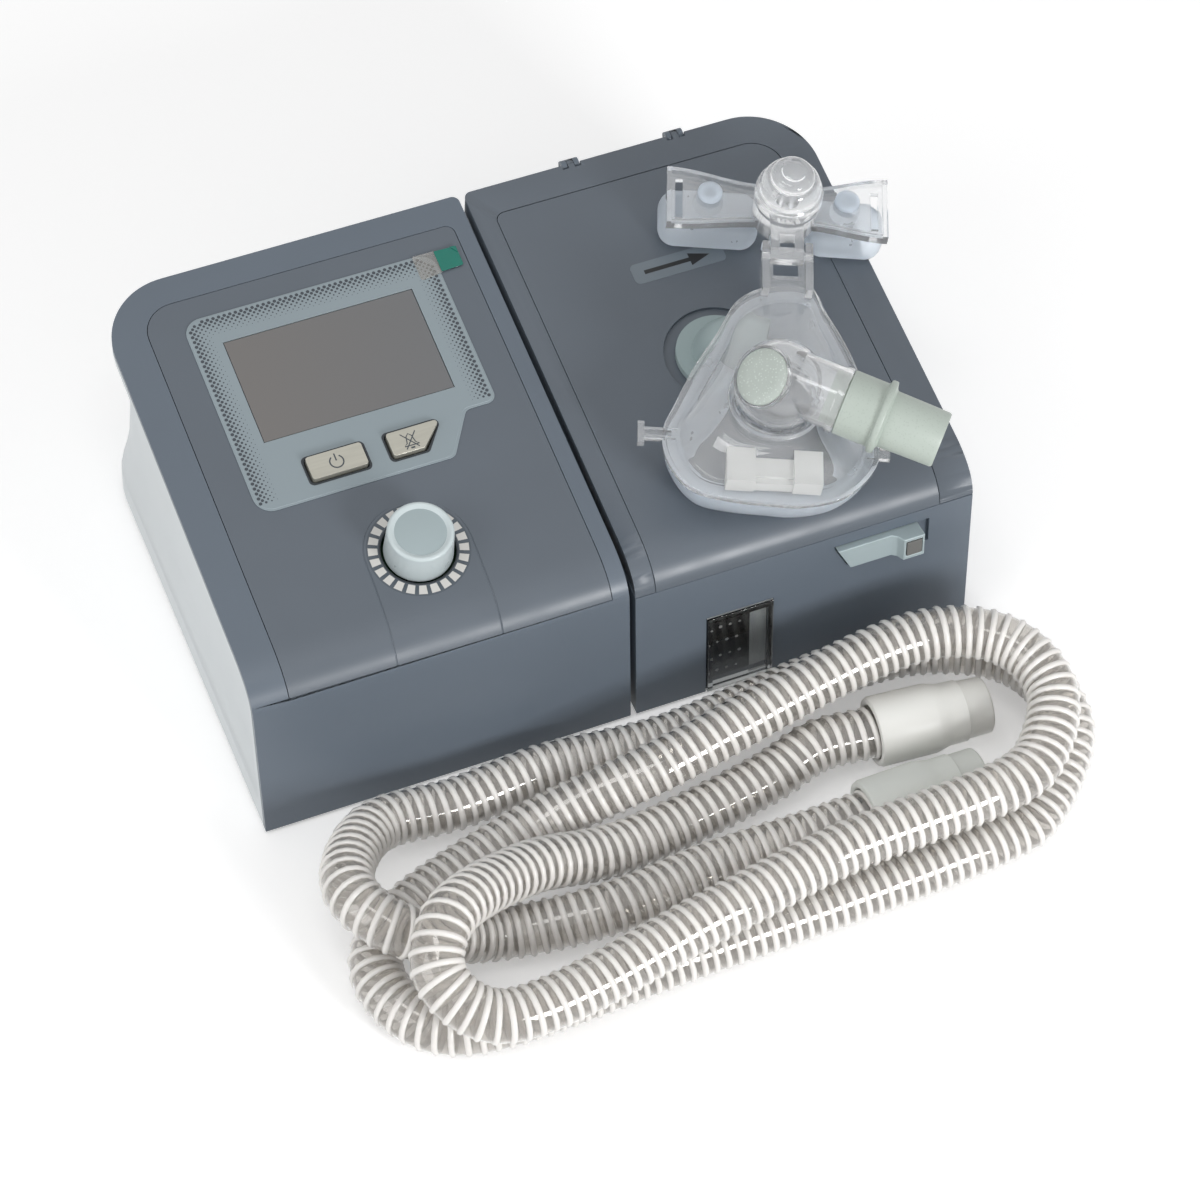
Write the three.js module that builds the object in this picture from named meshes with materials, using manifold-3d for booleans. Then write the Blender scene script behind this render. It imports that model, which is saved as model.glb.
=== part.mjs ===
// Breathing therapy machine: a flow generator with a docked heated humidifier,
// a clear nasal mask lying on the humidifier lid and a loose ribbed hose.
// Millimetres, +Z up. +X runs from the flow generator to the humidifier, +Y to the rear.

import * as THREE from 'three';
import { mergeVertices } from 'three/addons/utils/BufferGeometryUtils.js';
import Module from 'manifold-3d';

const wasm = await Module();
wasm.setup();

// Driving sizes of the two housings

const main_left = -153.6;
const dock_gap = 2.5;
const main_right = -dock_gap / 2;
const humidifier_left = dock_gap / 2;
const humidifier_right = 144.5;
const depth = 196;
const foot_height = 1.5;
const edge_y = 13.1;
const edge_z = 78.4;
const top_slope = 6.62;
const fold_on_front = 12.7;
const fold_on_top = 19;
const outer_corner = 28;
const inner_corner = 3;
const wall = 2.4;
const gap = 0.3;
const beyond = 20;

const radians = Math.PI / 180;
const rise = Math.tan(top_slope * radians);
const top_cosine = Math.cos(top_slope * radians);
const front_lean = edge_y / edge_z;
const front_angle = Math.atan(front_lean) / radians;
const top_length = (depth - edge_y) / top_cosine;

const arc_steps = 5;
const round_steps = 18;
const small_steps = 12;
const weld_distance = 1e-4;

// Materials

function finish(colour, roughness, metalness = 0, opacity = 1) {
  return new THREE.MeshStandardMaterial({
    color: new THREE.Color(colour), roughness, metalness, opacity, transparent: opacity < 1,
  });
}

const dark_cover = finish(0x646e78, 0.5);
const dark_front = finish(0x69737d, 0.5);
const light_body = finish(0xd3d7d9, 0.45);
const blue_grey = finish(0x94a0a6, 0.45);
const screen_glass = finish(0x7d7b7c, 0.15);
const silver_key = finish(0xd7d5c8, 0.3, 0.6);
const pale_grip = finish(0xaab8bc, 0.4);
const green_film = finish(0x2d8273, 0.4);
const circuit_green = finish(0x2f5a3c, 0.6);
const black_plastic = finish(0x1c1d1f, 0.6);
const white_plastic = finish(0xe2e2de, 0.4);
const steel = finish(0xb8bcc0, 0.35, 0.9);
const aluminium = finish(0xc4c7ca, 0.35, 0.9);
const rubber = finish(0x2a2b2d, 0.85);
const foam = finish(0x55585a, 0.95);
const port_plastic = finish(0xa0afb0, 0.4);
const clear_plastic = finish(0xe8eef0, 0.1, 0, 0.35);
const clear_silicone = finish(0xdfe6ea, 0.3, 0, 0.5);
const cuff_plastic = finish(0xbec8c0, 0.45);
const hose_plastic = finish(0xd7d2cf, 0.4);

// Solids: geometries in, closed geometries out

function welded(geometry) {
  const bare = geometry.clone();
  bare.deleteAttribute('normal');
  bare.deleteAttribute('uv');
  const merged = mergeVertices(bare, weld_distance);
  const kept = [];
  const index = merged.index.array;
  for (let i = 0; i < index.length; i += 3) {
    const [a, b, c] = [index[i], index[i + 1], index[i + 2]];
    if (a !== b && b !== c && c !== a) {
      kept.push(a, b, c);
    }
  }
  merged.setIndex(kept);
  return facing_out(merged);
}

function signed_volume(geometry) {
  const place = geometry.attributes.position;
  const index = geometry.index.array;
  const [a, b, c] = [new THREE.Vector3(), new THREE.Vector3(), new THREE.Vector3()];
  let total = 0;
  for (let i = 0; i < index.length; i += 3) {
    a.fromBufferAttribute(place, index[i]);
    b.fromBufferAttribute(place, index[i + 1]);
    c.fromBufferAttribute(place, index[i + 2]);
    total += a.dot(b.cross(c));
  }
  return total;
}

function facing_out(geometry) {
  if (signed_volume(geometry) < 0) {
    const index = geometry.index.array;
    const turned = [];
    for (let i = 0; i < index.length; i += 3) {
      turned.push(index[i], index[i + 2], index[i + 1]);
    }
    geometry.setIndex(turned);
  }
  return geometry;
}

function as_solid(geometry) {
  const clean = welded(geometry);
  return new wasm.Manifold(new wasm.Mesh({
    numProp: 3,
    vertProperties: new Float32Array(clean.attributes.position.array),
    triVerts: new Uint32Array(clean.index.array),
  }));
}

function as_geometry(solid) {
  const mesh = solid.getMesh();
  const geometry = new THREE.BufferGeometry();
  geometry.setAttribute('position', new THREE.BufferAttribute(new Float32Array(mesh.vertProperties), 3));
  geometry.setIndex(Array.from(mesh.triVerts));
  return geometry;
}

function join(...pieces) {
  return as_geometry(pieces.map(as_solid).reduce((sum, piece) => sum.add(piece)));
}

function cut(base, ...tools) {
  return as_geometry(tools.map(as_solid).reduce((left, tool) => left.subtract(tool), as_solid(base)));
}

function common(...pieces) {
  return as_geometry(pieces.map(as_solid).reduce((shared, piece) => shared.intersect(piece)));
}

// Basic shapes

function block(x0, x1, y0, y1, z0, z1) {
  const geometry = new THREE.BoxGeometry(x1 - x0, y1 - y0, z1 - z0);
  return geometry.translate((x0 + x1) / 2, (y0 + y1) / 2, (z0 + z1) / 2);
}

function rod(radius, z0, z1, steps = round_steps) {
  const geometry = new THREE.CylinderGeometry(radius, radius, z1 - z0, steps);
  return geometry.rotateX(90 * radians).translate(0, 0, (z0 + z1) / 2);
}

function rod_along_x(radius, x0, x1, y, z, steps = round_steps) {
  const geometry = new THREE.CylinderGeometry(radius, radius, x1 - x0, steps);
  return geometry.rotateZ(90 * radians).translate((x0 + x1) / 2, y, z);
}

function lathe(profile, steps = round_steps) {
  const points = profile.map(([radius, height]) => new THREE.Vector2(radius, height));
  return new THREE.LatheGeometry(points, steps).rotateX(90 * radians);
}

function ring(outer, inner, z0, z1, steps = round_steps) {
  return lathe([[inner, z0], [outer, z0], [outer, z1], [inner, z1], [inner, z0]], steps);
}

function shape_of(outline) {
  return new THREE.Shape(outline.map(([x, y]) => new THREE.Vector2(x, y)));
}

function prism(outline, z0, z1) {
  const geometry = new THREE.ExtrudeGeometry(shape_of(outline), { depth: z1 - z0, bevelEnabled: false });
  return geometry.translate(0, 0, z0);
}

// An outline in Y and Z, drawn along X
function side_prism(outline, x0, x1) {
  const turn = new THREE.Matrix4().makeBasis(
    new THREE.Vector3(0, 1, 0), new THREE.Vector3(0, 0, 1), new THREE.Vector3(1, 0, 0));
  return prism(outline, x0, x1).applyMatrix4(turn);
}

// An outline in X and Z, drawn along Y
function face_prism(outline, y0, y1) {
  const turn = new THREE.Matrix4().makeBasis(
    new THREE.Vector3(1, 0, 0), new THREE.Vector3(0, 0, 1), new THREE.Vector3(0, -1, 0));
  return prism(outline, -y1, -y0).applyMatrix4(turn);
}

function placed(geometry, x, y, z = 0) {
  return geometry.clone().translate(x, y, z);
}

// Corners given as [x, y, radius], returned as a plain outline
function rounded(corners, steps = arc_steps) {
  const outline = [];
  corners.forEach(([x, y, radius], i) => {
    const [bx, by] = corners[(i + corners.length - 1) % corners.length];
    const [ax, ay] = corners[(i + 1) % corners.length];
    if (!radius) {
      outline.push([x, y]);
      return;
    }
    const here = new THREE.Vector2(x, y);
    const before = new THREE.Vector2(bx, by).sub(here).normalize();
    const after = new THREE.Vector2(ax, ay).sub(here).normalize();
    const half = Math.acos(Math.max(-1, Math.min(1, before.dot(after)))) / 2;
    const reach = radius / Math.tan(half);
    const middle = before.clone().add(after).normalize();
    const centre = here.clone().addScaledVector(middle, radius / Math.sin(half));
    const start = here.clone().addScaledVector(before, reach).sub(centre);
    const end = here.clone().addScaledVector(after, reach).sub(centre);
    const turn = start.cross(end) > 0 ? 1 : -1;
    const sweep = turn * start.angleTo(end);
    for (let k = 0; k <= steps; k += 1) {
      const spot = start.clone().rotateAround(new THREE.Vector2(0, 0), sweep * k / steps).add(centre);
      outline.push([spot.x, spot.y]);
    }
  });
  return outline;
}

function rounded_box(x0, x1, y0, y1, radius, steps = arc_steps) {
  return rounded([[x0, y0, radius], [x1, y0, radius], [x1, y1, radius], [x0, y1, radius]], steps);
}

// Rings of equal length joined into one skin, closed on itself or capped
function skin(rings, closed) {
  const count = rings[0].length;
  const places = rings.flat(2);
  const index = [];
  const last = closed ? rings.length : rings.length - 1;
  for (let r = 0; r < last; r += 1) {
    const here = r * count;
    const next = ((r + 1) % rings.length) * count;
    for (let i = 0; i < count; i += 1) {
      const j = (i + 1) % count;
      index.push(here + i, here + j, next + j, here + i, next + j, next + i);
    }
  }
  if (!closed) {
    const cap = rings[0].map(([x, y]) => new THREE.Vector2(x, y));
    const end = rings[rings.length - 1].map(([x, y]) => new THREE.Vector2(x, y));
    for (const [a, b, c] of THREE.ShapeUtils.triangulateShape(cap, [])) {
      index.push(a, c, b);
    }
    const from = (rings.length - 1) * count;
    for (const [a, b, c] of THREE.ShapeUtils.triangulateShape(end, [])) {
      index.push(from + a, from + b, from + c);
    }
  }
  const geometry = new THREE.BufferGeometry();
  geometry.setAttribute('position', new THREE.BufferAttribute(new Float32Array(places), 3));
  geometry.setIndex(index);
  return facing_out(geometry);
}

// A round bar along a path of straight and bent runs
class Bend extends THREE.Curve {
  constructor(rise_length, bend_radius, run_length, direction) {
    super();
    this.rise_length = rise_length;
    this.bend_radius = bend_radius;
    this.run_length = run_length;
    this.direction = direction;
    this.arc_length = bend_radius * Math.PI / 2;
    this.total = rise_length + this.arc_length + run_length;
  }

  getPoint(t, target = new THREE.Vector3()) {
    const along = t * this.total;
    let out = 0;
    let up = along;
    if (along > this.rise_length + this.arc_length) {
      out = this.bend_radius + along - this.rise_length - this.arc_length;
      up = this.rise_length + this.bend_radius;
    } else if (along > this.rise_length) {
      const angle = (along - this.rise_length) / this.bend_radius;
      out = this.bend_radius * (1 - Math.cos(angle));
      up = this.rise_length + this.bend_radius * Math.sin(angle);
    }
    return target.set(this.direction.x * out, this.direction.y * out, up);
  }
}

function bar_along(curve, radius, steps, around = small_steps) {
  const circle = new THREE.Shape();
  for (let i = 0; i < around; i += 1) {
    const angle = i / around * 2 * Math.PI;
    const spot = [radius * Math.cos(angle), radius * Math.sin(angle)];
    if (i === 0) {
      circle.moveTo(...spot);
    } else {
      circle.lineTo(...spot);
    }
  }
  return new THREE.ExtrudeGeometry(circle, { steps, bevelEnabled: false, extrudePath: curve });
}

// Frames: the sloped top, the leaning front and the mask on the lid

const top_group = new THREE.Group();
top_group.position.set(0, edge_y, edge_z);
top_group.rotation.x = top_slope * radians;
top_group.updateMatrix();

const front_group = new THREE.Group();
front_group.rotation.x = -front_angle * radians;
front_group.updateMatrix();

const mask_x = 75.5;
const mask_v = 43.9;
const mask_turn = -22.6;
const mask_group = new THREE.Group();
mask_group.position.set(mask_x, mask_v, 0);
mask_group.rotation.z = mask_turn * radians;
mask_group.updateMatrix();
top_group.add(mask_group);

function from_top(geometry) {
  return geometry.clone().applyMatrix4(top_group.matrix);
}

function from_front(geometry) {
  return geometry.clone().applyMatrix4(front_group.matrix);
}

// Side view of a housing, set in by a distance

function fold_points(inset) {
  const lean = new THREE.Vector2(front_lean, 1).normalize();
  const slope = new THREE.Vector2(1, rise).normalize();
  const corner = new THREE.Vector2(edge_y, edge_z);
  const start = corner.clone().addScaledVector(lean, -fold_on_front);
  const end = corner.clone().addScaledVector(slope, fold_on_top);
  const points = [];
  const steps = 8;
  for (let k = 0; k <= steps; k += 1) {
    const t = k / steps;
    const spot = start.clone().multiplyScalar((1 - t) ** 2)
      .addScaledVector(corner, 2 * t * (1 - t))
      .addScaledVector(end, t * t);
    const heading = corner.clone().sub(start).multiplyScalar(1 - t)
      .addScaledVector(end.clone().sub(corner), t).normalize();
    points.push([spot.x + heading.y * inset, spot.y - heading.x * inset]);
  }
  return points;
}

function side_outline(inset, rear = depth, bottom = foot_height) {
  const fold = fold_points(inset);
  const [first_y, first_z] = fold[0];
  const [last_y, last_z] = fold[fold.length - 1];
  return [
    [first_y - (first_z - bottom) * front_lean, bottom],
    ...fold,
    [rear, last_z + (rear - last_y) * rise],
    [rear, bottom],
  ];
}

function top_height(y, h = 0) {
  return edge_z + (y - edge_y) * rise + h / top_cosine;
}

function v_to_y(v) {
  return edge_y + v * top_cosine;
}

const tall = 130;

// Flow generator housing: dark front, top frame and right wall

const cover_left = main_left + 14.6;
const cover_right = main_right - 6.75;
const cover_rear = depth - 12;
const cover_front_z = edge_z - 9;
const fan_x = main_left + 78.6;
const fan_y = depth - 55;
const dock_y = fan_y - 31;
const dock_z = 48;
const dock_hole = 12.3;

const main_solid = common(
  side_prism(side_outline(0), main_left, main_right),
  prism(rounded([[main_left, -beyond, 0], [main_right, -beyond, 0], [main_right, depth, inner_corner],
    [main_left, depth, outer_corner]]), 0, tall),
);
const main_hollow = side_prism(
  side_outline(wall, depth + beyond, -beyond), main_left - beyond, main_right - wall);

function cover_opening(shrink) {
  const [left, right, rear] = [cover_left + shrink, cover_right - shrink, cover_rear - shrink];
  return prism(
    rounded([[left, -beyond, 0], [right, -beyond, 0], [right, rear, 4 - shrink], [left, rear, 13 - shrink]]),
    cover_front_z + shrink, tall);
}

const main_skin = cut(main_solid, main_hollow);
const main_housing = cut(
  main_skin,
  cover_opening(0),
  rod_along_x(dock_hole, main_right - 2 * wall, main_right + 1, dock_y, dock_z),
);

// Display bezel, keys and knob sit in the cover

const screen_width = 78.5;
const screen_height = 47.6;
const screen_x0 = cover_left + 26.6;
const screen_x1 = screen_x0 + screen_width;
const screen_v1 = top_length - 35.63;
const screen_v0 = screen_v1 - screen_height;

const bezel_x0 = screen_x0 - 11.6;
const bezel_x1 = screen_x1 + 12.7;
const bezel_v0 = screen_v0 - 28.5;
const bezel_v1 = screen_v1 + 12.5;
const notch_v = screen_v0 - 10.1;
const bezel_corners = [
  [bezel_x0, bezel_v0, 6.5], [bezel_x1 - 24.5, bezel_v0, 3], [bezel_x1 - 13, notch_v, 3],
  [bezel_x1, notch_v, 3], [bezel_x1, bezel_v1, 6.5], [bezel_x0, bezel_v1, 6.5],
];
const bezel_proud = 0.5;
const bezel_thickness = 5.2;
const bezel_flange = 2.2;
const flange_reach = 3;

function grown(corners, reach) {
  const middle_x = corners.reduce((sum, [x]) => sum + x, 0) / corners.length;
  const middle_y = corners.reduce((sum, [, y]) => sum + y, 0) / corners.length;
  return corners.map(([x, y, radius]) => [
    x + Math.sign(x - middle_x) * reach,
    y + Math.sign(y - middle_y) * reach,
    radius ? radius + Math.min(reach, 1) : 0,
  ]);
}

const key_v0 = screen_v0 - 22.5;
const key_v1 = screen_v0 - 12.4;
const key_radius = 1.2;
const power_x0 = screen_x0 + 11.9;
const power_x1 = power_x0 + 22.7;
const mute_x0 = screen_x1 - 33.7;
const mute_x1 = mute_x0 + 12.7;
const mute_tip = mute_x0 + 22.6;
const power_key = [[power_x0, key_v0, key_radius], [power_x1, key_v0, key_radius],
  [power_x1, key_v1, key_radius], [power_x0, key_v1, key_radius]];
const mute_key = [[mute_x0, key_v0 - 0.2, key_radius], [mute_x1, key_v0 - 0.2, key_radius],
  [mute_tip, key_v1 + 0.1, key_radius], [mute_x0, key_v1 + 0.1, key_radius]];
const key_proud = 2.6;
const key_travel = 1;
const key_clearance = 0.7;
const key_step = 1.6;

const knob_x = (cover_left + cover_right) / 2 + 0.9;
const knob_v = 38.3;
const knob_base = 13.9;
const knob_top = 13.2;
const knob_height = 14.7;
const knob_well = 14.6;
const knob_seat = -1.5;
const shaft_radius = 3;
const shaft_travel = 1;

const board_top = -12;
const board_thickness = 1.6;
const boss_radius = 3;
const boss_places = [[cover_left + 8, 30], [cover_right - 8, 30], [cover_left + 8, top_length - 64.1],
  [cover_right - 6, top_length - 64.1]];

const cover_boss = rod(boss_radius, board_top + gap, -wall / 2, 8);
const cover_bosses = boss_places.map(([x, v]) => placed(cover_boss, x, v));
const cover_solid = common(main_skin, cover_opening(gap));
const cover_holes = [
  from_top(prism(rounded(grown(bezel_corners, gap)), -2 * wall, wall)),
  from_top(placed(rod(knob_well, -2 * wall, wall), knob_x, knob_v)),
];
const main_cover = cut(join(cover_solid, ...cover_bosses.map(from_top)), ...cover_holes);

function key_hole(corners) {
  return prism(rounded(grown(corners, key_clearance), 3), -2 * bezel_thickness, wall);
}

const bezel_outline = rounded(bezel_corners);
const flange_edge = rounded(grown(bezel_corners, flange_reach), 2);
const display_bezel = cut(
  join(
    prism(bezel_outline, -bezel_thickness, bezel_proud),
    prism(flange_edge, -bezel_thickness, -bezel_thickness + bezel_flange),
  ),
  block(screen_x0, screen_x1, screen_v0, screen_v1, -2 * bezel_thickness, wall),
  key_hole(power_key),
  key_hole(mute_key),
);

const glass_gap = 0.25;
const display_glass = block(
  screen_x0 + glass_gap, screen_x1 - glass_gap, screen_v0 + glass_gap, screen_v1 - glass_gap,
  -bezel_thickness + 1, bezel_proud - 0.2);

const film_corners = [[screen_x1 + 6.4, screen_v1 - 0.5, 1], [screen_x1 + 15.9, screen_v1 - 0.5, 1.5],
  [screen_x1 + 15.9, screen_v1 + 15, 2.5], [screen_x1 + 4.9, screen_v1 + 15, 1]];
const screen_film = prism(rounded(film_corners, 3), bezel_proud + 0.1, bezel_proud + 0.4);

function key_piece(corners) {
  const flange_top = -bezel_thickness - gap;
  const [x0, v0] = corners[0];
  return join(
    prism(rounded(corners, 3), flange_top - 1, key_proud),
    prism(rounded(grown(corners, key_step), 3), flange_top - 2, flange_top),
    block(x0 + 5, x0 + 8, v0 + 4, v0 + 7, flange_top - 4, flange_top - 1),
  );
}

const power_button = key_piece(power_key);
const mute_button = key_piece(mute_key);

const board_middle = board_top - board_thickness / 2;

function key_switch(corners) {
  const [x0, v0] = corners[0];
  return block(x0 + 3.5, x0 + 9.5, v0 + 2.5, v0 + 8.5,
    board_middle, -bezel_thickness - gap - 4 - key_travel - gap);
}

const control_board = join(
  block(cover_left + 4, cover_right - 4, 24, top_length - 20.1, board_top - board_thickness, board_top),
  block(screen_x0 - 1, screen_x1 + 1, screen_v0 - 1, screen_v1 + 1, board_middle, -bezel_thickness - gap),
  key_switch(power_key),
  key_switch(mute_key),
);

const encoder_half = 7;
const encoder_top = -4.6;
const encoder_bottom = board_top + gap;
const encoder_body = placed(cut(
  block(-encoder_half, encoder_half, -encoder_half, encoder_half, encoder_bottom, encoder_top),
  rod(shaft_radius + gap, encoder_bottom + 1, encoder_top + 1, small_steps),
), knob_x, knob_v);
const shaft_top = 10.4;
const shaft_bottom = encoder_bottom + 1 + shaft_travel + gap;
const encoder_shaft = placed(rod(shaft_radius, shaft_bottom, shaft_top, small_steps), knob_x, knob_v);

const knob = placed(cut(
  lathe([
    [0, knob_seat], [knob_base - 0.8, knob_seat], [knob_base, knob_seat + 0.8],
    [knob_top, knob_height - 1.2], [knob_top - 0.4, knob_height - 0.3], [knob_top - 1.3, knob_height],
    [knob_top - 2.2, knob_height - 0.4], [knob_top - 3, knob_height - 0.9], [0, knob_height - 1.3],
  ], 20),
  rod(shaft_radius + gap, knob_seat - 1, shaft_top + gap, small_steps),
  ring(11.4, 6, knob_seat - 1, knob_height - 4, small_steps),
), knob_x, knob_v);

// Light body of the flow generator: floor, hollowed left side and rear wall

const corner_x = main_left + outer_corner;
const corner_y = depth - outer_corner;
const body_right = main_right - wall - gap;
const under_cover = wall + gap;
const strip_width = 3;
const strip_edge = 0.7;

// Height at the front, share of the top's slope and depth of the hollow
const body_levels = [
  [foot_height, 0, 0], [13, 0, 0], [17.5, 0.1, 2.1], [25, 0.2, 4.4], [40, 0.5, 5.8],
  [54, 0.8, 5.1], [64, 1, 3.4], [70.2, 1, 1.5], [70.8, 1, 0], [86, 1, 0],
];

function body_ring([height, share, hollow], thickness, front_shift, right) {
  const spot = (x, y) => [x, y, height + share * rise * y];
  const front = height * front_lean + front_shift;
  const left = main_left + hollow + thickness;
  const points = [
    spot(right, front),
    spot(main_left + thickness, front),
    spot(main_left + thickness, front + strip_width),
    spot(left, front + strip_width + strip_edge),
  ];
  const steps = 8;
  for (let k = 0; k <= steps; k += 1) {
    const angle = k / steps * Math.PI / 2;
    points.push(spot(
      corner_x - (outer_corner - hollow - thickness) * Math.cos(angle),
      corner_y + (outer_corner - thickness) * Math.sin(angle),
    ));
  }
  points.push(spot(right, depth - thickness));
  return points.reverse();
}

const body_outer = skin(body_levels.map((level) => body_ring(level, 0, under_cover, body_right)), false);
const inner_levels = [[foot_height + wall, 0, 0], ...body_levels.slice(1)];
const body_inner = skin(
  inner_levels.map((level) => body_ring(level, wall, -beyond, body_right + beyond)), false);

const bay_x0 = fan_x - 17;
const bay_x1 = fan_x + 13;
const bay_z0 = 62;
const bay_z1 = 76;
const inlet_x0 = main_right - 38.75;
const inlet_x1 = inlet_x0 + 20;
const inlet_z0 = 14;
const inlet_z1 = 30;

const motor_radius = 17;
const motor_bottom = 12;
const motor_top = 35.4;
const floor_top = foot_height + wall;

const board_x0 = main_left + 7.6;
const board_x1 = fan_x + 33;
const board_y0 = 24;
const board_y1 = fan_y - 53;
const board_posts = [
  [board_x0 + 4, board_y0 + 4], [board_x1 - 4, board_y0 + 4],
  [board_x0 + 4, board_y1 - 4], [board_x1 - 4, board_y1 - 4],
];
const board_bottom = 9;

const main_body = cut(
  join(
    common(
      cut(body_outer, body_inner),
      side_prism(side_outline(under_cover), main_left - beyond, main_right + beyond),
    ),
    placed(ring(motor_radius, motor_radius - 4, floor_top - 1, motor_bottom - gap), fan_x, fan_y),
    ...board_posts.map(([x, y]) => placed(rod(3.5, floor_top - 1, board_bottom - gap, small_steps), x, y)),
  ),
  block(bay_x0, bay_x1, depth - 3 * wall, depth + 1, bay_z0, bay_z1),
  block(inlet_x0, inlet_x1, depth - 3 * wall, depth + 1, inlet_z0, inlet_z1),
);

// Feet

const foot_radius = 7;
const foot = rod(foot_radius, 0, foot_height, small_steps);
const main_feet = {
  main_foot_front_left: [main_left + 17.6, 22],
  main_foot_front_right: [main_right - 18.75, 22],
  main_foot_rear_left: [main_left + 25.6, depth - 24],
  main_foot_rear_right: [main_right - 18.75, depth - 20],
};
const humidifier_feet = {
  humidifier_foot_front_left: [humidifier_left + 16.75, 22],
  humidifier_foot_front_right: [humidifier_right - 16.5, 22],
  humidifier_foot_rear_left: [humidifier_left + 16.75, depth - 20],
  humidifier_foot_rear_right: [humidifier_right - 26.5, depth - 24],
};

// Air path of the flow generator

const wheel_radius = 27;
const scroll_start = 31;
const scroll_growth = 8;
const scroll_wall = 2;
const scroll_bottom = 35.7;
const scroll_floor = 38;
const scroll_top = 60;
const scroll_exit = fan_x + 44;
const channel_width = 14;

function scroll_outline(extra) {
  const points = [];
  const steps = 30;
  for (let k = 0; k <= steps; k += 1) {
    const share = k / steps;
    const angle = (-60 + 330 * share) * radians;
    const radius = scroll_start + scroll_growth * share + extra;
    points.push([fan_x + radius * Math.cos(angle), fan_y + radius * Math.sin(angle)]);
  }
  const outer_y = fan_y - scroll_start - scroll_growth - extra;
  points.push([scroll_exit, outer_y]);
  points.push([scroll_exit, outer_y + channel_width + 2 * extra]);
  return points;
}

const scroll_room = scroll_outline(0).map(([x, y]) => [x === scroll_exit ? x + beyond : x, y]);
const blower_volute = cut(
  prism(scroll_outline(scroll_wall), scroll_bottom, scroll_top),
  prism(scroll_room, scroll_floor, scroll_top + 1),
  placed(rod(5, scroll_bottom - 1, scroll_floor + 1, small_steps), fan_x, fan_y),
);

const eye_radius = 13;
const lid_thickness = 2.1;
const blower_cover = cut(
  prism(scroll_outline(scroll_wall), scroll_top + gap, scroll_top + gap + lid_thickness),
  placed(rod(eye_radius, scroll_top, scroll_top + 2 * lid_thickness), fan_x, fan_y),
);

const motor_shaft = 2.2;
const motor = placed(cut(
  rod(motor_radius, motor_bottom, motor_top),
  rod(motor_shaft + gap, motor_bottom + 6, motor_top + 1, small_steps),
  ring(motor_radius + 2, motor_radius - 1, motor_bottom + 8, motor_bottom + 10),
), fan_x, fan_y);

const wheel_bottom = 40.5;
const blade_count = 9;
const blade_top = 55;

function blade(i) {
  const plate = block(8, wheel_radius - 1, -0.7, 0.7, wheel_bottom + 1, blade_top);
  return plate.translate(0, 5, 0).rotateZ(i / blade_count * 2 * Math.PI);
}

const wheel_hub = [
  [0, wheel_bottom], [9, wheel_bottom], [8.5, wheel_bottom + 4],
  [6, wheel_bottom + 9], [0, wheel_bottom + 11],
];
const impeller = placed(join(
  rod(wheel_radius, wheel_bottom, wheel_bottom + 1.6),
  lathe(wheel_hub, small_steps),
  rod(motor_shaft, motor_bottom + 6 + gap, wheel_bottom + 1, small_steps),
  ...Array.from({ length: blade_count }, (_, i) => blade(i)),
), fan_x, fan_y);

const muffler_bottom = scroll_top + 2 * gap + lid_thickness;
const muffler_front = fan_y - 17;
const muffler_rear = depth - 9;
const muffler_top = top_height(muffler_front, board_top - board_thickness) - 2.08;
const muffler_x0 = fan_x - 19;
const muffler_x1 = fan_x + 17;
const intake_muffler = cut(
  block(muffler_x0, muffler_x1, muffler_front, muffler_rear, muffler_bottom, muffler_top),
  block(muffler_x0 + 2, muffler_x1 - 2, muffler_front + 2, muffler_rear + 1,
    muffler_bottom + 2, muffler_top - 2),
  placed(rod(eye_radius - 1, muffler_bottom - 1, muffler_bottom + 3), fan_x, fan_y),
);

const filter_pad = block(
  bay_x0 + 0.5, bay_x1 - 0.5, muffler_rear + gap, depth - 5.5, bay_z0 + 0.5, bay_z1 - 0.5);

const slat_count = 5;
const filter_proud = 1.2;
const filter_cover = cut(
  block(bay_x0 + gap, bay_x1 - gap, depth - 5, depth + filter_proud, bay_z0 + gap, bay_z1 - gap),
  ...Array.from({ length: slat_count }, (_, i) => {
    const x = bay_x0 + 3.5 + i * 5;
    return block(x, x + 3, depth - 6, depth + 2 * filter_proud, bay_z0 + 3, bay_z1 - 3);
  }),
);

const duct_start = scroll_exit + gap;
const duct_end = main_right - 7.05;
const duct_y0 = fan_y - scroll_start - scroll_growth - scroll_wall;
const duct_y1 = duct_y0 + channel_width + 2 * scroll_wall;
const outlet_duct = cut(
  join(
    block(duct_start, duct_end - 4, duct_y0, duct_y1, scroll_bottom + 0.3, scroll_top + gap),
    rod_along_x(11.5, duct_end - 6, duct_end, dock_y, dock_z),
  ),
  block(duct_start - 1, duct_end - 6, duct_y0 + scroll_wall, duct_y1 - scroll_wall,
    scroll_floor, scroll_top - 2),
  rod_along_x(9, duct_end - 8, duct_end + 1, dock_y, dock_z),
);

const seal_inner = 9;
const dock_seal = cut(
  join(
    rod_along_x(dock_hole - gap, duct_end + gap, humidifier_left - gap, dock_y, dock_z),
    rod_along_x(dock_hole + 2, duct_end + gap, main_right - wall - gap, dock_y, dock_z),
  ),
  rod_along_x(seal_inner, duct_end - 1, humidifier_left + 1, dock_y, dock_z),
);

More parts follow.
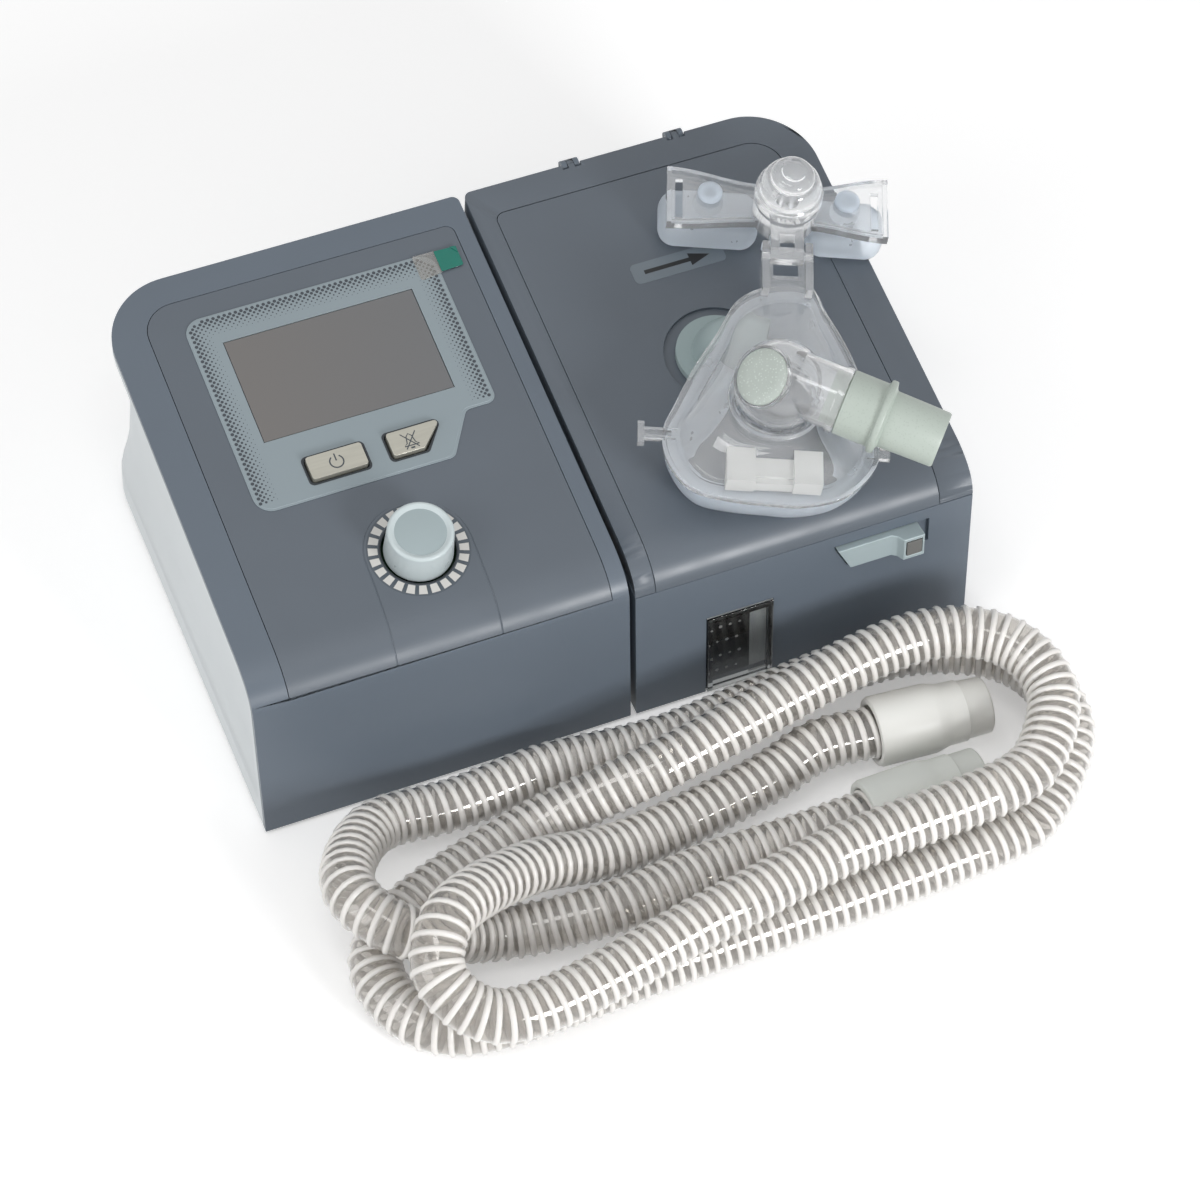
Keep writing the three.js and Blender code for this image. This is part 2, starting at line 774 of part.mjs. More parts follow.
const main_board = join(
  block(board_x0, board_x1, board_y0, board_y1, board_bottom, board_bottom + board_thickness),
  block(board_x0 + 6, board_x0 + 30, board_y0 + 16, board_y0 + 38, board_bottom + 1, board_bottom + 16),
  placed(rod(5, board_bottom + 1, board_bottom + 18, small_steps), board_x0 + 42, board_y0 + 22),
  placed(rod(5, board_bottom + 1, board_bottom + 18, small_steps), board_x0 + 54, board_y0 + 22),
  block(board_x1 - 36, board_x1 - 20, board_y0 + 26, board_y0 + 42, board_bottom + 1, board_bottom + 4),
  block(board_x1 - 14, board_x1 - 4, board_y0 + 16, board_y0 + 46, board_bottom + 1, board_bottom + 9),
);

const power_inlet = join(
  cut(
    block(inlet_x0 + gap, inlet_x1 - gap, depth - 17, depth + 0.6, inlet_z0 + gap, inlet_z1 - gap),
    block(inlet_x0 + 3.5, inlet_x1 - 3.5, depth - 13, depth + 2, inlet_z0 + 3.5, inlet_z1 - 3.5),
  ),
  block(inlet_x0 + 6, inlet_x0 + 7.6, depth - 14, depth - 4, inlet_z0 + 6, inlet_z1 - 6),
  block(inlet_x1 - 7.6, inlet_x1 - 6, depth - 14, depth - 4, inlet_z0 + 6, inlet_z1 - 6),
);

// Humidifier base

const seam_front_z = edge_z - 12;
const seam_front_y = 11;
const seam_rear_z = top_height(depth) - 7.63;
const seam_slope = (seam_rear_z - seam_front_z) / (depth - seam_front_y);

function above_seam(lift) {
  const height = (y) => seam_front_z + (y - seam_front_y) * seam_slope + lift;
  return side_prism([[-beyond, height(-beyond)], [depth + beyond, height(depth + beyond)],
    [depth + beyond, 2 * tall], [-beyond, 2 * tall]], -2 * tall, 2 * tall);
}

function humidifier_plan(inset) {
  return prism(rounded([[humidifier_left + inset, -beyond, 0], [humidifier_right - inset, -beyond, 0],
    [humidifier_right - inset, depth - inset, outer_corner - inset],
    [humidifier_left + inset, depth - inset, Math.max(inner_corner - inset, 0.6)]]), -beyond, 2 * tall);
}

function humidifier_side(outline) {
  return side_prism(outline, humidifier_left, humidifier_right);
}

const humidifier_solid = common(humidifier_side(side_outline(0)), humidifier_plan(0));
const humidifier_hollow = common(
  humidifier_side(side_outline(wall, depth, floor_top)), humidifier_plan(wall));
const humidifier_skin = cut(humidifier_solid, humidifier_hollow);

const window_x0 = humidifier_left + 29.75;
const window_x1 = window_x0 + 28.6;
const window_top = 44;
const latch_tip = humidifier_right - 58.8;
const latch_x1 = latch_tip + 35.3;
const latch_s0 = 50.2;
const latch_s1 = 61.3;
const latch_slant = 5.6;
const latch_travel = 4;
const pocket_depth = 2;
const pocket_right = latch_x1 + latch_travel + 1;

const latch_pocket = [
  [latch_tip - 0.8, latch_s1 + 0.5], [latch_tip + latch_slant - 0.4, latch_s0 - 0.6],
  [pocket_right, latch_s0 - 0.6], [pocket_right, latch_s1 + 0.5],
];
const stem_x0 = latch_tip + 14.3;
const stem_x1 = stem_x0 + 5;
const stem_s0 = latch_s0 + 2.8;
const stem_s1 = latch_s1 - 3.3;

const knuckle_radius = 2.6;
const knuckle_y = depth + 1.2;
const knuckle_z = top_height(depth) - knuckle_radius - 0.03;
const hinge_places = [humidifier_left + 42.75, humidifier_right - 55];
const knuckle_width = 2.2;
const hinge_width = 7.4;

function knuckle(x0, x1, foot_z) {
  return join(
    rod_along_x(knuckle_radius, x0, x1, knuckle_y, knuckle_z, small_steps),
    block(x0, x1, depth - 1, knuckle_y + knuckle_radius - 0.6, foot_z, knuckle_z),
  );
}

const pin_radius = 1;
const pin_holes = hinge_places.map((x) => rod_along_x(pin_radius + 0.25, x - 1, x + hinge_width + 1,
  knuckle_y, knuckle_z, small_steps));
const base_knuckles = hinge_places.flatMap((x) => [
  knuckle(x, x + knuckle_width, seam_rear_z - 8),
  knuckle(x + hinge_width - knuckle_width, x + hinge_width, seam_rear_z - 8),
]);
function knuckle_room(x0, x1) {
  return block(x0 - gap, x1 + gap, depth - 2, depth + beyond, seam_rear_z - 4, tall);
}

const knuckle_clearance = hinge_places.flatMap((x) => [
  knuckle_room(x, x + knuckle_width),
  knuckle_room(x + hinge_width - knuckle_width, x + hinge_width),
]);

const inlet_hole = 9.2;
const humidifier_base = cut(
  join(
    cut(humidifier_skin, above_seam(0)),
    from_front(face_prism([[latch_tip - 4, latch_s0 - 5], [pocket_right + 5, latch_s0 - 5],
      [pocket_right + 5, latch_s1 + 3.4], [latch_tip - 4, latch_s1 + 3.4]], 1, 5)),
    ...base_knuckles,
  ),
  from_front(block(window_x0, window_x1, -beyond, 2 * wall, -beyond, window_top)),
  from_front(face_prism(latch_pocket, -beyond, pocket_depth)),
  from_front(block(
    stem_x0 - gap, stem_x1 + latch_travel + gap, -1, beyond / 2, stem_s0 - gap, stem_s1 + gap)),
  rod_along_x(inlet_hole, humidifier_left - 1, humidifier_left + 2 * wall, dock_y, dock_z),
  ...pin_holes,
);

const window_proud = 1.2;
const level_window = join(
  cut(
    block(window_x0 + gap, window_x1 - gap, -window_proud, 3.2, foot_height + 0.8, window_top - gap),
    block(window_x0 + 2.5, window_x1 - 2.5, -window_proud - 1, 0.6, foot_height - 5, window_top - 3),
  ),
);

const latch_front = -2.6;
const latch_block_front = -7;
const latch_back = pocket_depth - gap;
const block_x0 = latch_x1 - 9;
const pad_inset = 1.3;

const pad_x0 = block_x0 + pad_inset;
const pad_x1 = latch_x1 - pad_inset;
const pad_s0 = latch_s0 + 2;
const pad_s1 = latch_s1 - 2;

const slider_face = [
  [latch_tip, latch_s1], [latch_tip + latch_slant, latch_s0], [latch_x1, latch_s0], [latch_x1, latch_s1],
];
const slider_block = rounded([
  [block_x0 - 4, latch_front + 0.5, 0], [block_x0 - 1.5, latch_front - 1.4, 1.5],
  [block_x0, latch_block_front, 0.5], [latch_x1, latch_block_front, 0.6], [latch_x1, latch_front + 1, 0],
], 3);
const latch_slider = cut(
  join(
    face_prism(slider_face, latch_front, latch_back),
    prism(slider_block, latch_s0, latch_s1),
    block(stem_x0, stem_x1, latch_back - 1, pocket_depth + 5, stem_s0, stem_s1),
  ),
  block(pad_x0 - gap, pad_x1 + gap, latch_block_front - 1, latch_block_front + 1, pad_s0 - gap, pad_s1 + gap),
);
const latch_pad = block(
  pad_x0, pad_x1, latch_block_front - 0.2, latch_block_front + 0.9, pad_s0, pad_s1);

// Inside the humidifier

const tank_x0 = humidifier_left + 10.75;
const tank_x1 = humidifier_right - 11.5;
const tank_y0 = 18;
const tank_y1 = depth - 14;
const heater_top = floor_top + 3.6;
const tank_bottom = heater_top + gap;
const tank_top = edge_z - 16.4;
const tank_wall = 2;
const tank_corner = 12;

const heater_x0 = tank_x0 + 22;
const heater_x1 = tank_x1 - 23;
const heater_y0 = tank_y0 + 26;
const heater_y1 = tank_y1 - 32;
const heater_x = (heater_x0 + heater_x1) / 2;
const heater_y = (heater_y0 + heater_y1) / 2;
const sensor_outline = rounded_box(heater_x - 12, heater_x + 12, heater_y - 13, heater_y + 13, 4, 2);
const heater_plate = join(
  prism(rounded_box(heater_x0, heater_x1, heater_y0, heater_y1, 10, 3), floor_top + gap, heater_top),
  prism(sensor_outline, floor_top + 0.1, floor_top + 1),
);

function tank_prism(inset, z0, z1) {
  const [x0, x1] = [tank_x0 + inset, tank_x1 - inset];
  const [y0, y1] = [tank_y0 + inset, tank_y1 - inset];
  return prism(rounded_box(x0, x1, y0, y1, tank_corner - inset, 4), z0, z1);
}

const water_tank = cut(
  tank_prism(0, tank_bottom, tank_top),
  tank_prism(tank_wall, tank_bottom + tank_wall, tank_top + 1),
  rod_along_x(inlet_hole, tank_x0 - 1, tank_x0 + 2 * tank_wall, dock_y, dock_z),
);

const port_x = (humidifier_left + humidifier_right) / 2 - 3.075;
const port_v = 82.3;
const port_y = v_to_y(port_v);
const port_z = top_height(port_y);
const tube_bottom = -17;
const tube_end_y = port_y + Math.sin(top_slope * radians) * -tube_bottom;
const tank_lid_top = tank_top + gap + 2.4;
const tank_outlet = 8.6;

const tank_lid = cut(
  join(
    tank_prism(-1, tank_top + gap, tank_lid_top),
    cut(
      tank_prism(tank_wall + gap, tank_top - 3, tank_top + 1),
      tank_prism(2 * tank_wall + gap, tank_top - 4, tank_top + 0.5),
    ),
  ),
  placed(rod(tank_outlet, tank_top - 5, tank_lid_top + 1), port_x, tube_end_y),
);

const port_seal = placed(lathe([
  [tank_outlet + 0.4, tank_lid_top + 0.1], [tank_outlet + 4, tank_lid_top + 0.1],
  [tank_outlet + 3.4, tank_lid_top + 1.4], [tank_outlet + 4, tank_lid_top + 3],
  [tank_outlet + 0.8, tank_lid_top + 3], [tank_outlet + 0.4, tank_lid_top + 0.1],
], 16), port_x, tube_end_y);

const collar_x = humidifier_left + wall + gap;
const inlet_tube = cut(
  join(
    rod_along_x(inlet_hole - gap, humidifier_left + gap, tank_x0 - gap, dock_y, dock_z),
    rod_along_x(inlet_hole + 3, collar_x, collar_x + 2, dock_y, dock_z),
  ),
  rod_along_x(inlet_hole - 2, humidifier_left - 1, tank_x0 + 1, dock_y, dock_z),
);

const hinge_pins = hinge_places.map((x) => rod_along_x(pin_radius, x + 0.1, x + hinge_width - 0.1,
  knuckle_y, knuckle_z, 12));

// Humidifier lid: frame, inset panel, liner and outlet port

const panel_left = humidifier_left + 8.25;
const panel_right = humidifier_right - 14.1;
const panel_rear = depth - 13;

function panel_opening(shrink) {
  const [left, right, rear] = [panel_left + shrink, panel_right - shrink, panel_rear - shrink];
  return prism(
    rounded([[left, -beyond, 0], [right, -beyond, 0], [right, rear, 13 - shrink], [left, rear, 4 - shrink]]),
    0, 2 * tall);
}

const lid_skin = common(humidifier_skin, above_seam(gap));
const lid_knuckles = hinge_places.map((x) => knuckle(
  x + knuckle_width + gap, x + hinge_width - knuckle_width - gap, seam_rear_z + 1.5));
const humidifier_lid = cut(
  join(
    cut(lid_skin, panel_opening(0)),
    ...lid_knuckles,
  ),
  ...knuckle_clearance,
  ...pin_holes,
);

const port_tube = 10.6;
const port_bore = 8.6;
const port_flange = 16.8;
const flange_thickness = 2;
const recess_radius = 21.5;

const lid_panel = cut(
  join(
    common(lid_skin, panel_opening(gap)),
    from_top(placed(rod(recess_radius + 2, -wall - 1.6, -wall / 2), port_x, port_v)),
  ),
  from_top(placed(rod(recess_radius, -1.6, wall), port_x, port_v)),
  from_top(placed(rod(port_tube + gap, -3 * wall, wall), port_x, port_v)),
);

const liner_top = -wall - 1.6 - gap;
const lid_liner = cut(
  prism(
    rounded_box(panel_left + 6.5, panel_right - 6.4, 26, top_length - 24.1, 8, 3), liner_top - 2, liner_top),
  placed(rod(port_tube + gap, -3 * wall, 0), port_x, port_v),
);

const port_heading = new THREE.Vector2(0.82, -0.574).normalize();
const port_bend = 11.5;
const port_axis_h = 12.8;
const port_run = 5.5;

function port_path(extra_down, extra_run) {
  const rise_length = port_axis_h - port_bend - tube_bottom + extra_down;
  return new Bend(rise_length, port_bend, port_run + extra_run, port_heading);
}

function port_bar(radius, extra_down, extra_run, around = 12) {
  const bar = bar_along(port_path(extra_down, extra_run), radius, 9, around);
  return placed(bar, port_x, port_v, tube_bottom - extra_down);
}

const flange_bottom = -1.6 + gap;
const outlet_port = cut(
  join(
    port_bar(port_tube, 0, 0),
    placed(rod(port_flange, flange_bottom, flange_bottom + flange_thickness + 1), port_x, port_v),
  ),
  port_bar(port_bore, 3, 3),
);

// Mask shell: a flange, a dome and a round socket

const socket_x = -2;
const socket_u = -7.2;
const flange_low = 24;
const flange_high = 26;
const dome_high = 34.6;
const socket_outer = 18.4;
const socket_inner = 16.2;
const collar_high = 37;
const flange_width = 7;
const shell_wall = 2;
const shell_points = 25;

const flange_outline = [
  [-7.9, 47.2], [-16.1, 41], [-23.2, 26.8], [-32.5, 9.9], [-40.6, -8.6], [-44, -16.8], [-44.3, -26.1],
  [-40.4, -36], [-33.2, -43.8], [-20.2, -47.3], [-4.6, -48.5], [9.6, -48.4], [24.5, -43.9], [34.7, -34.5],
  [39.1, -24], [35.6, -4], [30.5, 15.2], [24.9, 28], [18.8, 39.4], [14.5, 48.8], [3.4, 50.4],
];

const flange_curve = new THREE.CatmullRomCurve3(
  flange_outline.map(([x, u]) => new THREE.Vector3(x, u, 0)), true, 'centripetal').getPoints(400);

// Distance from the socket's centre to the flange outline in one direction
function flange_reach_at(angle) {
  let best = 0;
  let nearest = Infinity;
  for (const spot of flange_curve) {
    const here = Math.atan2(spot.y - socket_u, spot.x - socket_x);
    const off = Math.abs(Math.atan2(Math.sin(here - angle), Math.cos(here - angle)));
    if (off < nearest) {
      nearest = off;
      best = Math.hypot(spot.x - socket_x, spot.y - socket_u);
    }
  }
  return best;
}

const flange_reaches = Array.from(
  { length: shell_points }, (_, i) => flange_reach_at(i / shell_points * 2 * Math.PI));

function mask_ring(reach_of, height) {
  return flange_reaches.map((reach, i) => {
    const angle = i / shell_points * 2 * Math.PI;
    const radius = reach_of(reach);
    return [socket_x + radius * Math.cos(angle), socket_u + radius * Math.sin(angle), height];
  });
}

function dome_ring(share, width, socket, low, high) {
  const height = low + (high - low) * Math.sin(share * Math.PI / 2);
  return mask_ring((reach) => (reach - width) * (1 - share) + socket * share, height);
}

const dome_shares = [0, 0.25, 0.55, 1];
const shell_loop = skin([
  mask_ring((reach) => reach, flange_low),
  mask_ring((reach) => reach, flange_high),
  ...dome_shares.map((share) => dome_ring(share, flange_width, socket_outer, flange_high + 0.2, dome_high)),
  mask_ring(() => socket_outer, collar_high),
  mask_ring(() => socket_inner, collar_high),
  ...dome_shares.toReversed().map((share) => dome_ring(share, flange_width + shell_wall, socket_inner,
    flange_low + 0.1, dome_high - shell_wall)),
], true);

const neck_x0 = -6.5;
const neck_x1 = 13.5;
const neck_rail = 3;
const neck_u0 = 40;
const neck_u1 = 66;
const pivot_u = 60;
const pivot_h = 30.5;
const pivot_radius = 1.3;

const mask_shell = cut(
  join(
    shell_loop,
    block(neck_x0, neck_x1, neck_u0 + 2, neck_u1, flange_low, flange_high + 0.8),
    block(neck_x0, neck_x0 + neck_rail, neck_u0 + 4, neck_u1, flange_low + 1, 33),
    block(neck_x1 - neck_rail, neck_x1, neck_u0 + 4, neck_u1, flange_low + 1, 33),
    block(-54, -38, -22.5, -18, flange_low + 0.2, flange_high + 1),
    block(-54, -51.5, -25, -15.5, flange_low + 0.2, flange_high + 1),
    block(34, 43, -26, -21.5, flange_low + 0.2, flange_high + 1),
  ),
  rod_along_x(pivot_radius + gap, neck_x0 - 1, neck_x1 + 1, pivot_u, pivot_h, 12),
  block(neck_x0 + 5, neck_x1 - 5, neck_u0 + 14, neck_u0 + 21, flange_low - 1, flange_high + 2),
);

const shell_cover = skin([
  mask_ring((reach) => reach + gap, flange_low - 10),
  mask_ring((reach) => reach + gap, flange_high + gap),
  ...dome_shares.map((share) => dome_ring(
    share, flange_width - gap, socket_outer + gap, flange_high + 0.2 + gap, dome_high + gap)),
  mask_ring(() => socket_outer + gap, collar_high + gap),
], false);

// Face cushion: a rolled silicone lip, dented over the port below it
const cushion_section = [
  [2, 23.7], [-2.6, 18], [-3.4, 9], [-0.6, 2.6], [5, 0.5], [13, 1.4],
  [15.6, 4.6], [7, 3.4], [1.8, 5.6], [-0.4, 11.5], [1, 18], [8, 23.7],
];
const cushion_rings = cushion_section.map(([inset, height]) => mask_ring((reach) => reach - inset, height));
const cushion_loop = skin(cushion_rings, true);
const port_clear = 0.5;
const port_side = port_tube + port_clear;

// Room below the port's bent end, so that the mask lifts straight off
const lift_room = placed(
  block(0, port_bend + port_run + 1, -port_side, port_side, -wall, port_axis_h)
    .rotateZ(Math.atan2(port_heading.y, port_heading.x)),
  port_x, port_v,
);

function to_mask(geometry) {
  return geometry.clone().applyMatrix4(mask_group.matrix.clone().invert());
}

const mask_cushion = cut(
  cushion_loop,
  to_mask(port_bar(port_side, 0, 1)),
  to_mask(lift_room),
  to_mask(placed(rod(port_flange + port_clear, -wall, 2.2), port_x, port_v)),
);

const cap_x0 = -20.7;
const cap_x1 = 16;
const cap_u0 = -43.5;
const cap_u1 = -30.5;
const cap_top = 34.5;
const port_cap = cut(
  join(
    block(cap_x0, cap_x0 + 11, cap_u0, cap_u1 + 1.5, flange_low, cap_top),
    block(cap_x1 - 11, cap_x1, cap_u0, cap_u1 + 1.5, flange_low, cap_top),
    block(cap_x0 + 8, cap_x1 - 8, cap_u0 + 3, cap_u1 - 2, flange_low, cap_top - 1.2),
    block(cap_x0 + 1, cap_x1 - 1, cap_u0 + 0.6, cap_u0 + 4.5, flange_low, cap_top - 2.6),
  ),
  shell_cover,
);

// Elbow with its vent and the turning cuff

const ball_h = 46;
const ball_outer = 17.5;
const ball_inner = 15.6;
const elbow_h = 51.5;
const elbow_heading = -20.2;
const elbow_tilt = 2;
const elbow_outer = 12.4;
const elbow_bore = 10.9;
const elbow_end = 25;
const vent_direction = new THREE.Vector3(-0.607, -0.25, 0.754).normalize();
const vent_distance = 13.5;
const vent_radius = 11;
const vent_seat = 1.8;

// A round piece drawn along the elbow's side tube
function along_elbow(geometry) {
  return geometry.clone()
    .rotateY((90 + elbow_tilt) * radians)
    .rotateZ(elbow_heading * radians)
    .translate(socket_x, socket_u, elbow_h);
}

function along_vent(geometry) {
  const turn = new THREE.Quaternion().setFromUnitVectors(new THREE.Vector3(0, 0, 1), vent_direction);
  return geometry.clone().applyQuaternion(turn).translate(socket_x, socket_u, ball_h);
}

function beyond_vent(distance) {
  return along_vent(block(-beyond, beyond, -beyond, beyond, distance, 2 * beyond));
}

function ball(radius) {
  const steps = 8;
  const profile = Array.from({ length: steps + 1 }, (_, k) => {
    const angle = (-90 + 180 * k / steps) * radians;
    const across = k === 0 || k === steps ? 0 : radius * Math.cos(angle);
    return [across, radius * Math.sin(angle)];
  });
  return placed(lathe(profile, 13), socket_x, socket_u, ball_h);
}

const neck_bottom = 32;
const neck_outer = socket_inner - gap;
const neck_bore = 13.6;

const elbow = cut(
  join(
    cut(ball(ball_outer), beyond_vent(vent_distance)),
    placed(rod(neck_outer, neck_bottom, ball_h), socket_x, socket_u),
    along_elbow(rod(elbow_outer, 6, elbow_end)),
    along_elbow(rod(elbow_outer + 0.8, elbow_end - 3, elbow_end)),
    along_vent(rod(vent_radius + 1.6, vent_distance - 4, vent_distance)),
  ),
  cut(ball(ball_inner), beyond_vent(vent_distance - vent_seat - 1)),
  placed(rod(neck_bore, neck_bottom - 1, ball_h), socket_x, socket_u),
  along_elbow(rod(elbow_bore, 2, elbow_end + 1)),
  along_vent(rod(vent_radius + gap, vent_distance - vent_seat, vent_distance + 2)),
  along_vent(rod(vent_radius - 2, vent_distance - 2 * vent_seat - 2, vent_distance)),
  placed(ring(ball_outer + 3, neck_outer, 0, collar_high + gap), socket_x, socket_u),
  placed(rod(ball_outer, 0, neck_bottom), socket_x, socket_u),
);

const vent_disc = along_vent(cut(
  rod(vent_radius, vent_distance - vent_seat + gap, vent_distance + 0.1),
  ...Array.from({ length: 6 }, (_, i) => placed(rod(0.6, 0, 2 * beyond, 6),
    5 * Math.cos(i * 60 * radians), 5 * Math.sin(i * 60 * radians))),
));

const sleeve_start = 15;
const cuff_start = elbow_end + gap;
const cuff_big = 12.8;
const cuff_small = 11.2;
const cuff_collar = 14.5;
const collar_start = cuff_start + 14;
const collar_end = collar_start + 3;
const cuff_end = 65;
const swivel_cuff = along_elbow(lathe([
  [9.2, sleeve_start], [elbow_bore - gap, sleeve_start], [elbow_bore - gap, cuff_start],
  [cuff_big, cuff_start], [cuff_big, collar_start], [cuff_collar, collar_start + 0.6],
  [cuff_collar, collar_end - 0.6], [cuff_small, collar_end], [cuff_small - 0.3, cuff_end - 0.8],
  [cuff_small - 0.8, cuff_end], [9.2, cuff_end], [9.2, sleeve_start],
]));

// Forehead bar with its dial and pads

const hub_x = 4;
const hub_u = 88;
const hub_radius = 13;
const hub_low = 18;
const hub_high = 29.7;
const wing_low = 19;
const wing_high = 22;
const rim_high = 24;
const peg_places = [[-25.8, 93.5], [28.9, 93.3]];
const peg_neck = 2.5;
const peg_hole = peg_neck + gap;

function wing(x0, x1, inner_u0, inner_u1, outer_u0, outer_u1) {
  const edge = x0 + Math.sign(x1 - x0) * 2;
  const outline = [[x0, outer_u0], [x1, inner_u0], [x1, inner_u1], [x0, outer_u1]];
  const rim = [[x0, outer_u0], [x1, inner_u0], [x1, inner_u0 + 2], [x0, outer_u0 + 2]];
  const far_rim = [[x0, outer_u1 - 2], [x1, inner_u1 - 2], [x1, inner_u1], [x0, outer_u1]];
  return [
    prism(outline, wing_low, wing_high),
    prism(rim, wing_low, rim_high),
    prism(far_rim, wing_low, rim_high),
    prism([[x0, outer_u0], [edge, outer_u0], [edge, outer_u1], [x0, outer_u1]], wing_low, rim_high),
  ];
}

const arm_gap = 0.4;
const stem_low = flange_high + 0.8 + arm_gap;
const forehead_arm = cut(
  join(
    placed(rod(hub_radius, hub_low, hub_high), hub_x, hub_u),
    ...wing(-43, -4, 81, 98, 78, 104),
    ...wing(45, 12, 81, 98, 77, 104),
    block(neck_x0 + neck_rail + arm_gap, neck_x1 - neck_rail - arm_gap,
      pivot_u - 1.2, hub_u - 8, stem_low, 32),
    rod_along_x(pivot_radius, neck_x0 + 0.5, neck_x1 - 0.5, pivot_u, pivot_h, 12),
  ),
  ...peg_places.map(([x, u]) => placed(rod(peg_hole, wing_low - 1, rim_high + 1, small_steps), x, u)),
  block(-39.5, -36.5, 82, 100, wing_low - 1, rim_high + 1),
  block(38.5, 41.5, 82, 99, wing_low - 1, rim_high + 1),
  placed(rod(3.4, hub_low + 4, hub_high + 3, small_steps), hub_x, hub_u),
  block(neck_x0 + 7, neck_x1 - 7, 64, 70, stem_low - 1, 33),
);

const dial_low = 32;
const forehead_dial = placed(lathe([
  [0, hub_low + 4 + gap], [3.1, hub_low + 4 + gap], [3.1, dial_low], [13.5, dial_low], [13.5, dial_low + 4],
  [13, dial_low + 5.5], [12.4, dial_low + 6], [11.8, dial_low + 9], [10.2, dial_low + 12.5],
  [8.8, dial_low + 13.2], [8.4, dial_low + 15], [6.4, dial_low + 17], [4.6, dial_low + 17.4],
  [4.2, dial_low + 18.2], [0, dial_low + 18.6],
], 14), hub_x, hub_u);

// Forehead pads: rounded soft pillows with a mushroom peg
function pad(x0, x1, u0, u1, peg_x, peg_u) {
  const levels = [[0.6, 4.5], [1.8, 1.4], [5, 0], [10, 0.3], [12.8, 2], [13.8, 5]];
  const rings = levels.map(([height, inset]) => {
    const outline = rounded_box(x0 + inset, x1 - inset, u0 + inset, u1 - inset, 8 - inset, 3);
    return outline.map(([x, y]) => [x, y, height]);
  });
  const peg = lathe([
    [0, 13], [6, 13], [5.4, wing_low - gap], [peg_neck, wing_low - gap], [peg_neck, wing_high + gap],
    [5, wing_high + gap], [4.8, wing_high + 1.6], [3.4, wing_high + 2.6], [0, wing_high + 2.9],
  ], small_steps);
  return join(skin(rings, false), placed(peg, peg_x, peg_u));
}

const pad_left = pad(-45, -5, 79, 103, ...peg_places[0]);
const pad_right = pad(14, 45, 78, 102, ...peg_places[1]);

// Loose hose: ribs round a bore, drawn along one hand-set route on the floor

const hose_outer = 10.8;
const hose_valley = 9.9;
const hose_bore = 8.3;
const hose_around = 7;
const rib_count = 96;
const bore_straying = 1;
const hose_plane_y = 99.5;

const hose_route = [
  [102, -148.7, 14.6], [80, -147, 14.6], [57, -145.2, 14.6], [36, -150, 12], [-31, -160, 13], [-73, -164, 28],
  [-114, -186, 49], [-123, -204, 44], [-108, -222, 35], [-12, -210, 34], [40, -201, 33], [118, -196, 34],
  [131, -189, 34], [147, -165, 35], [141, -140, 36], [113, -125, 36], [-7, -138, 25], [-61, -140, 13],
  [-125, -160, 11], [-137, -175, 11], [-134, -195, 11], [-118, -210, 11], [-22, -211, 11], [109, -206, 11],
  [125, -202, 11], [155, -170, 13], [150, -137, 12], [112, -115, 11], [0, -120, 11], [-46, -116, 11],
  [-83, -119, 12], [-118, -121, 17], [-139, -152, 33], [-128, -174, 33], [-89, -178, 12], [-44, -184, 14],
  [-1, -180, 12], [40, -181.6, 14.6], [62, -181, 14.6], [84, -180.4, 14.6],
];

const hose_curve = new THREE.CatmullRomCurve3(
  hose_route.map((spot) => new THREE.Vector3(...spot)), false, 'centripetal');
hose_curve.arcLengthDivisions = 4000;
const hose_length = hose_curve.getLength();

function hose_frames(count) {
  const frames = [];
  let side = new THREE.Vector3(0, 0, 1);
  for (let i = 0; i <= count; i += 1) {
    const share = i / count;
    const centre = hose_curve.getPointAt(share);
    const heading = hose_curve.getTangentAt(share).normalize();
    side = side.clone().addScaledVector(heading, -side.dot(heading)).normalize();
    frames.push({ centre, side, up: heading.clone().cross(side) });
  }
  return frames;
}

const ring_total = 2 * rib_count;
const frames = hose_frames(ring_total);

function hose_ring(frame, radius) {
  return Array.from({ length: hose_around }, (_, i) => {
    const angle = i / hose_around * 2 * Math.PI;
    const spot = frame.centre.clone()
      .addScaledVector(frame.side, radius * Math.cos(angle))
      .addScaledVector(frame.up, radius * Math.sin(angle));
    return [spot.x, spot.y, spot.z];
  });
}

const outer_rings = frames.map((frame, i) => hose_ring(frame, i % 2 ? hose_outer : hose_valley));

// The bore keeps only the rings it needs to stay within a small distance of the route
function strays(from, to) {
  const chord = new THREE.Line3(frames[from].centre, frames[to].centre);
  return frames.slice(from + 1, to).some(({ centre }) => (
    chord.closestPointToPoint(centre, true, new THREE.Vector3()).distanceTo(centre) > bore_straying));
}

function bore_frames() {
  const kept = [0];
  for (let i = 1; i < ring_total; i += 1) {
    if (strays(kept.at(-1), i + 1)) {
      kept.push(i);
    }
  }
  return [...kept, ring_total].map((i) => frames[i]);
}

const bore_rings = bore_frames().map((frame) => hose_ring(frame, hose_bore));
const hose = skin([...outer_rings, ...bore_rings.toReversed()], true);

// Clearance between passes of the hose, measured on its centre line
function least_gap() {
  const centres = hose_curve.getSpacedPoints(900);
  const step = hose_length / 900;
  let least = Infinity;
  for (let i = 0; i < centres.length; i += 1) {
    for (let j = i + Math.ceil(50 / step); j < centres.length; j += 1) {
      least = Math.min(least, centres[i].distanceTo(centres[j]));
    }
  }
  return least - 2 * hose_outer;
}

console.log(`hose length ${hose_length.toFixed(0)} mm, least gap to itself ${least_gap().toFixed(2)} mm`);

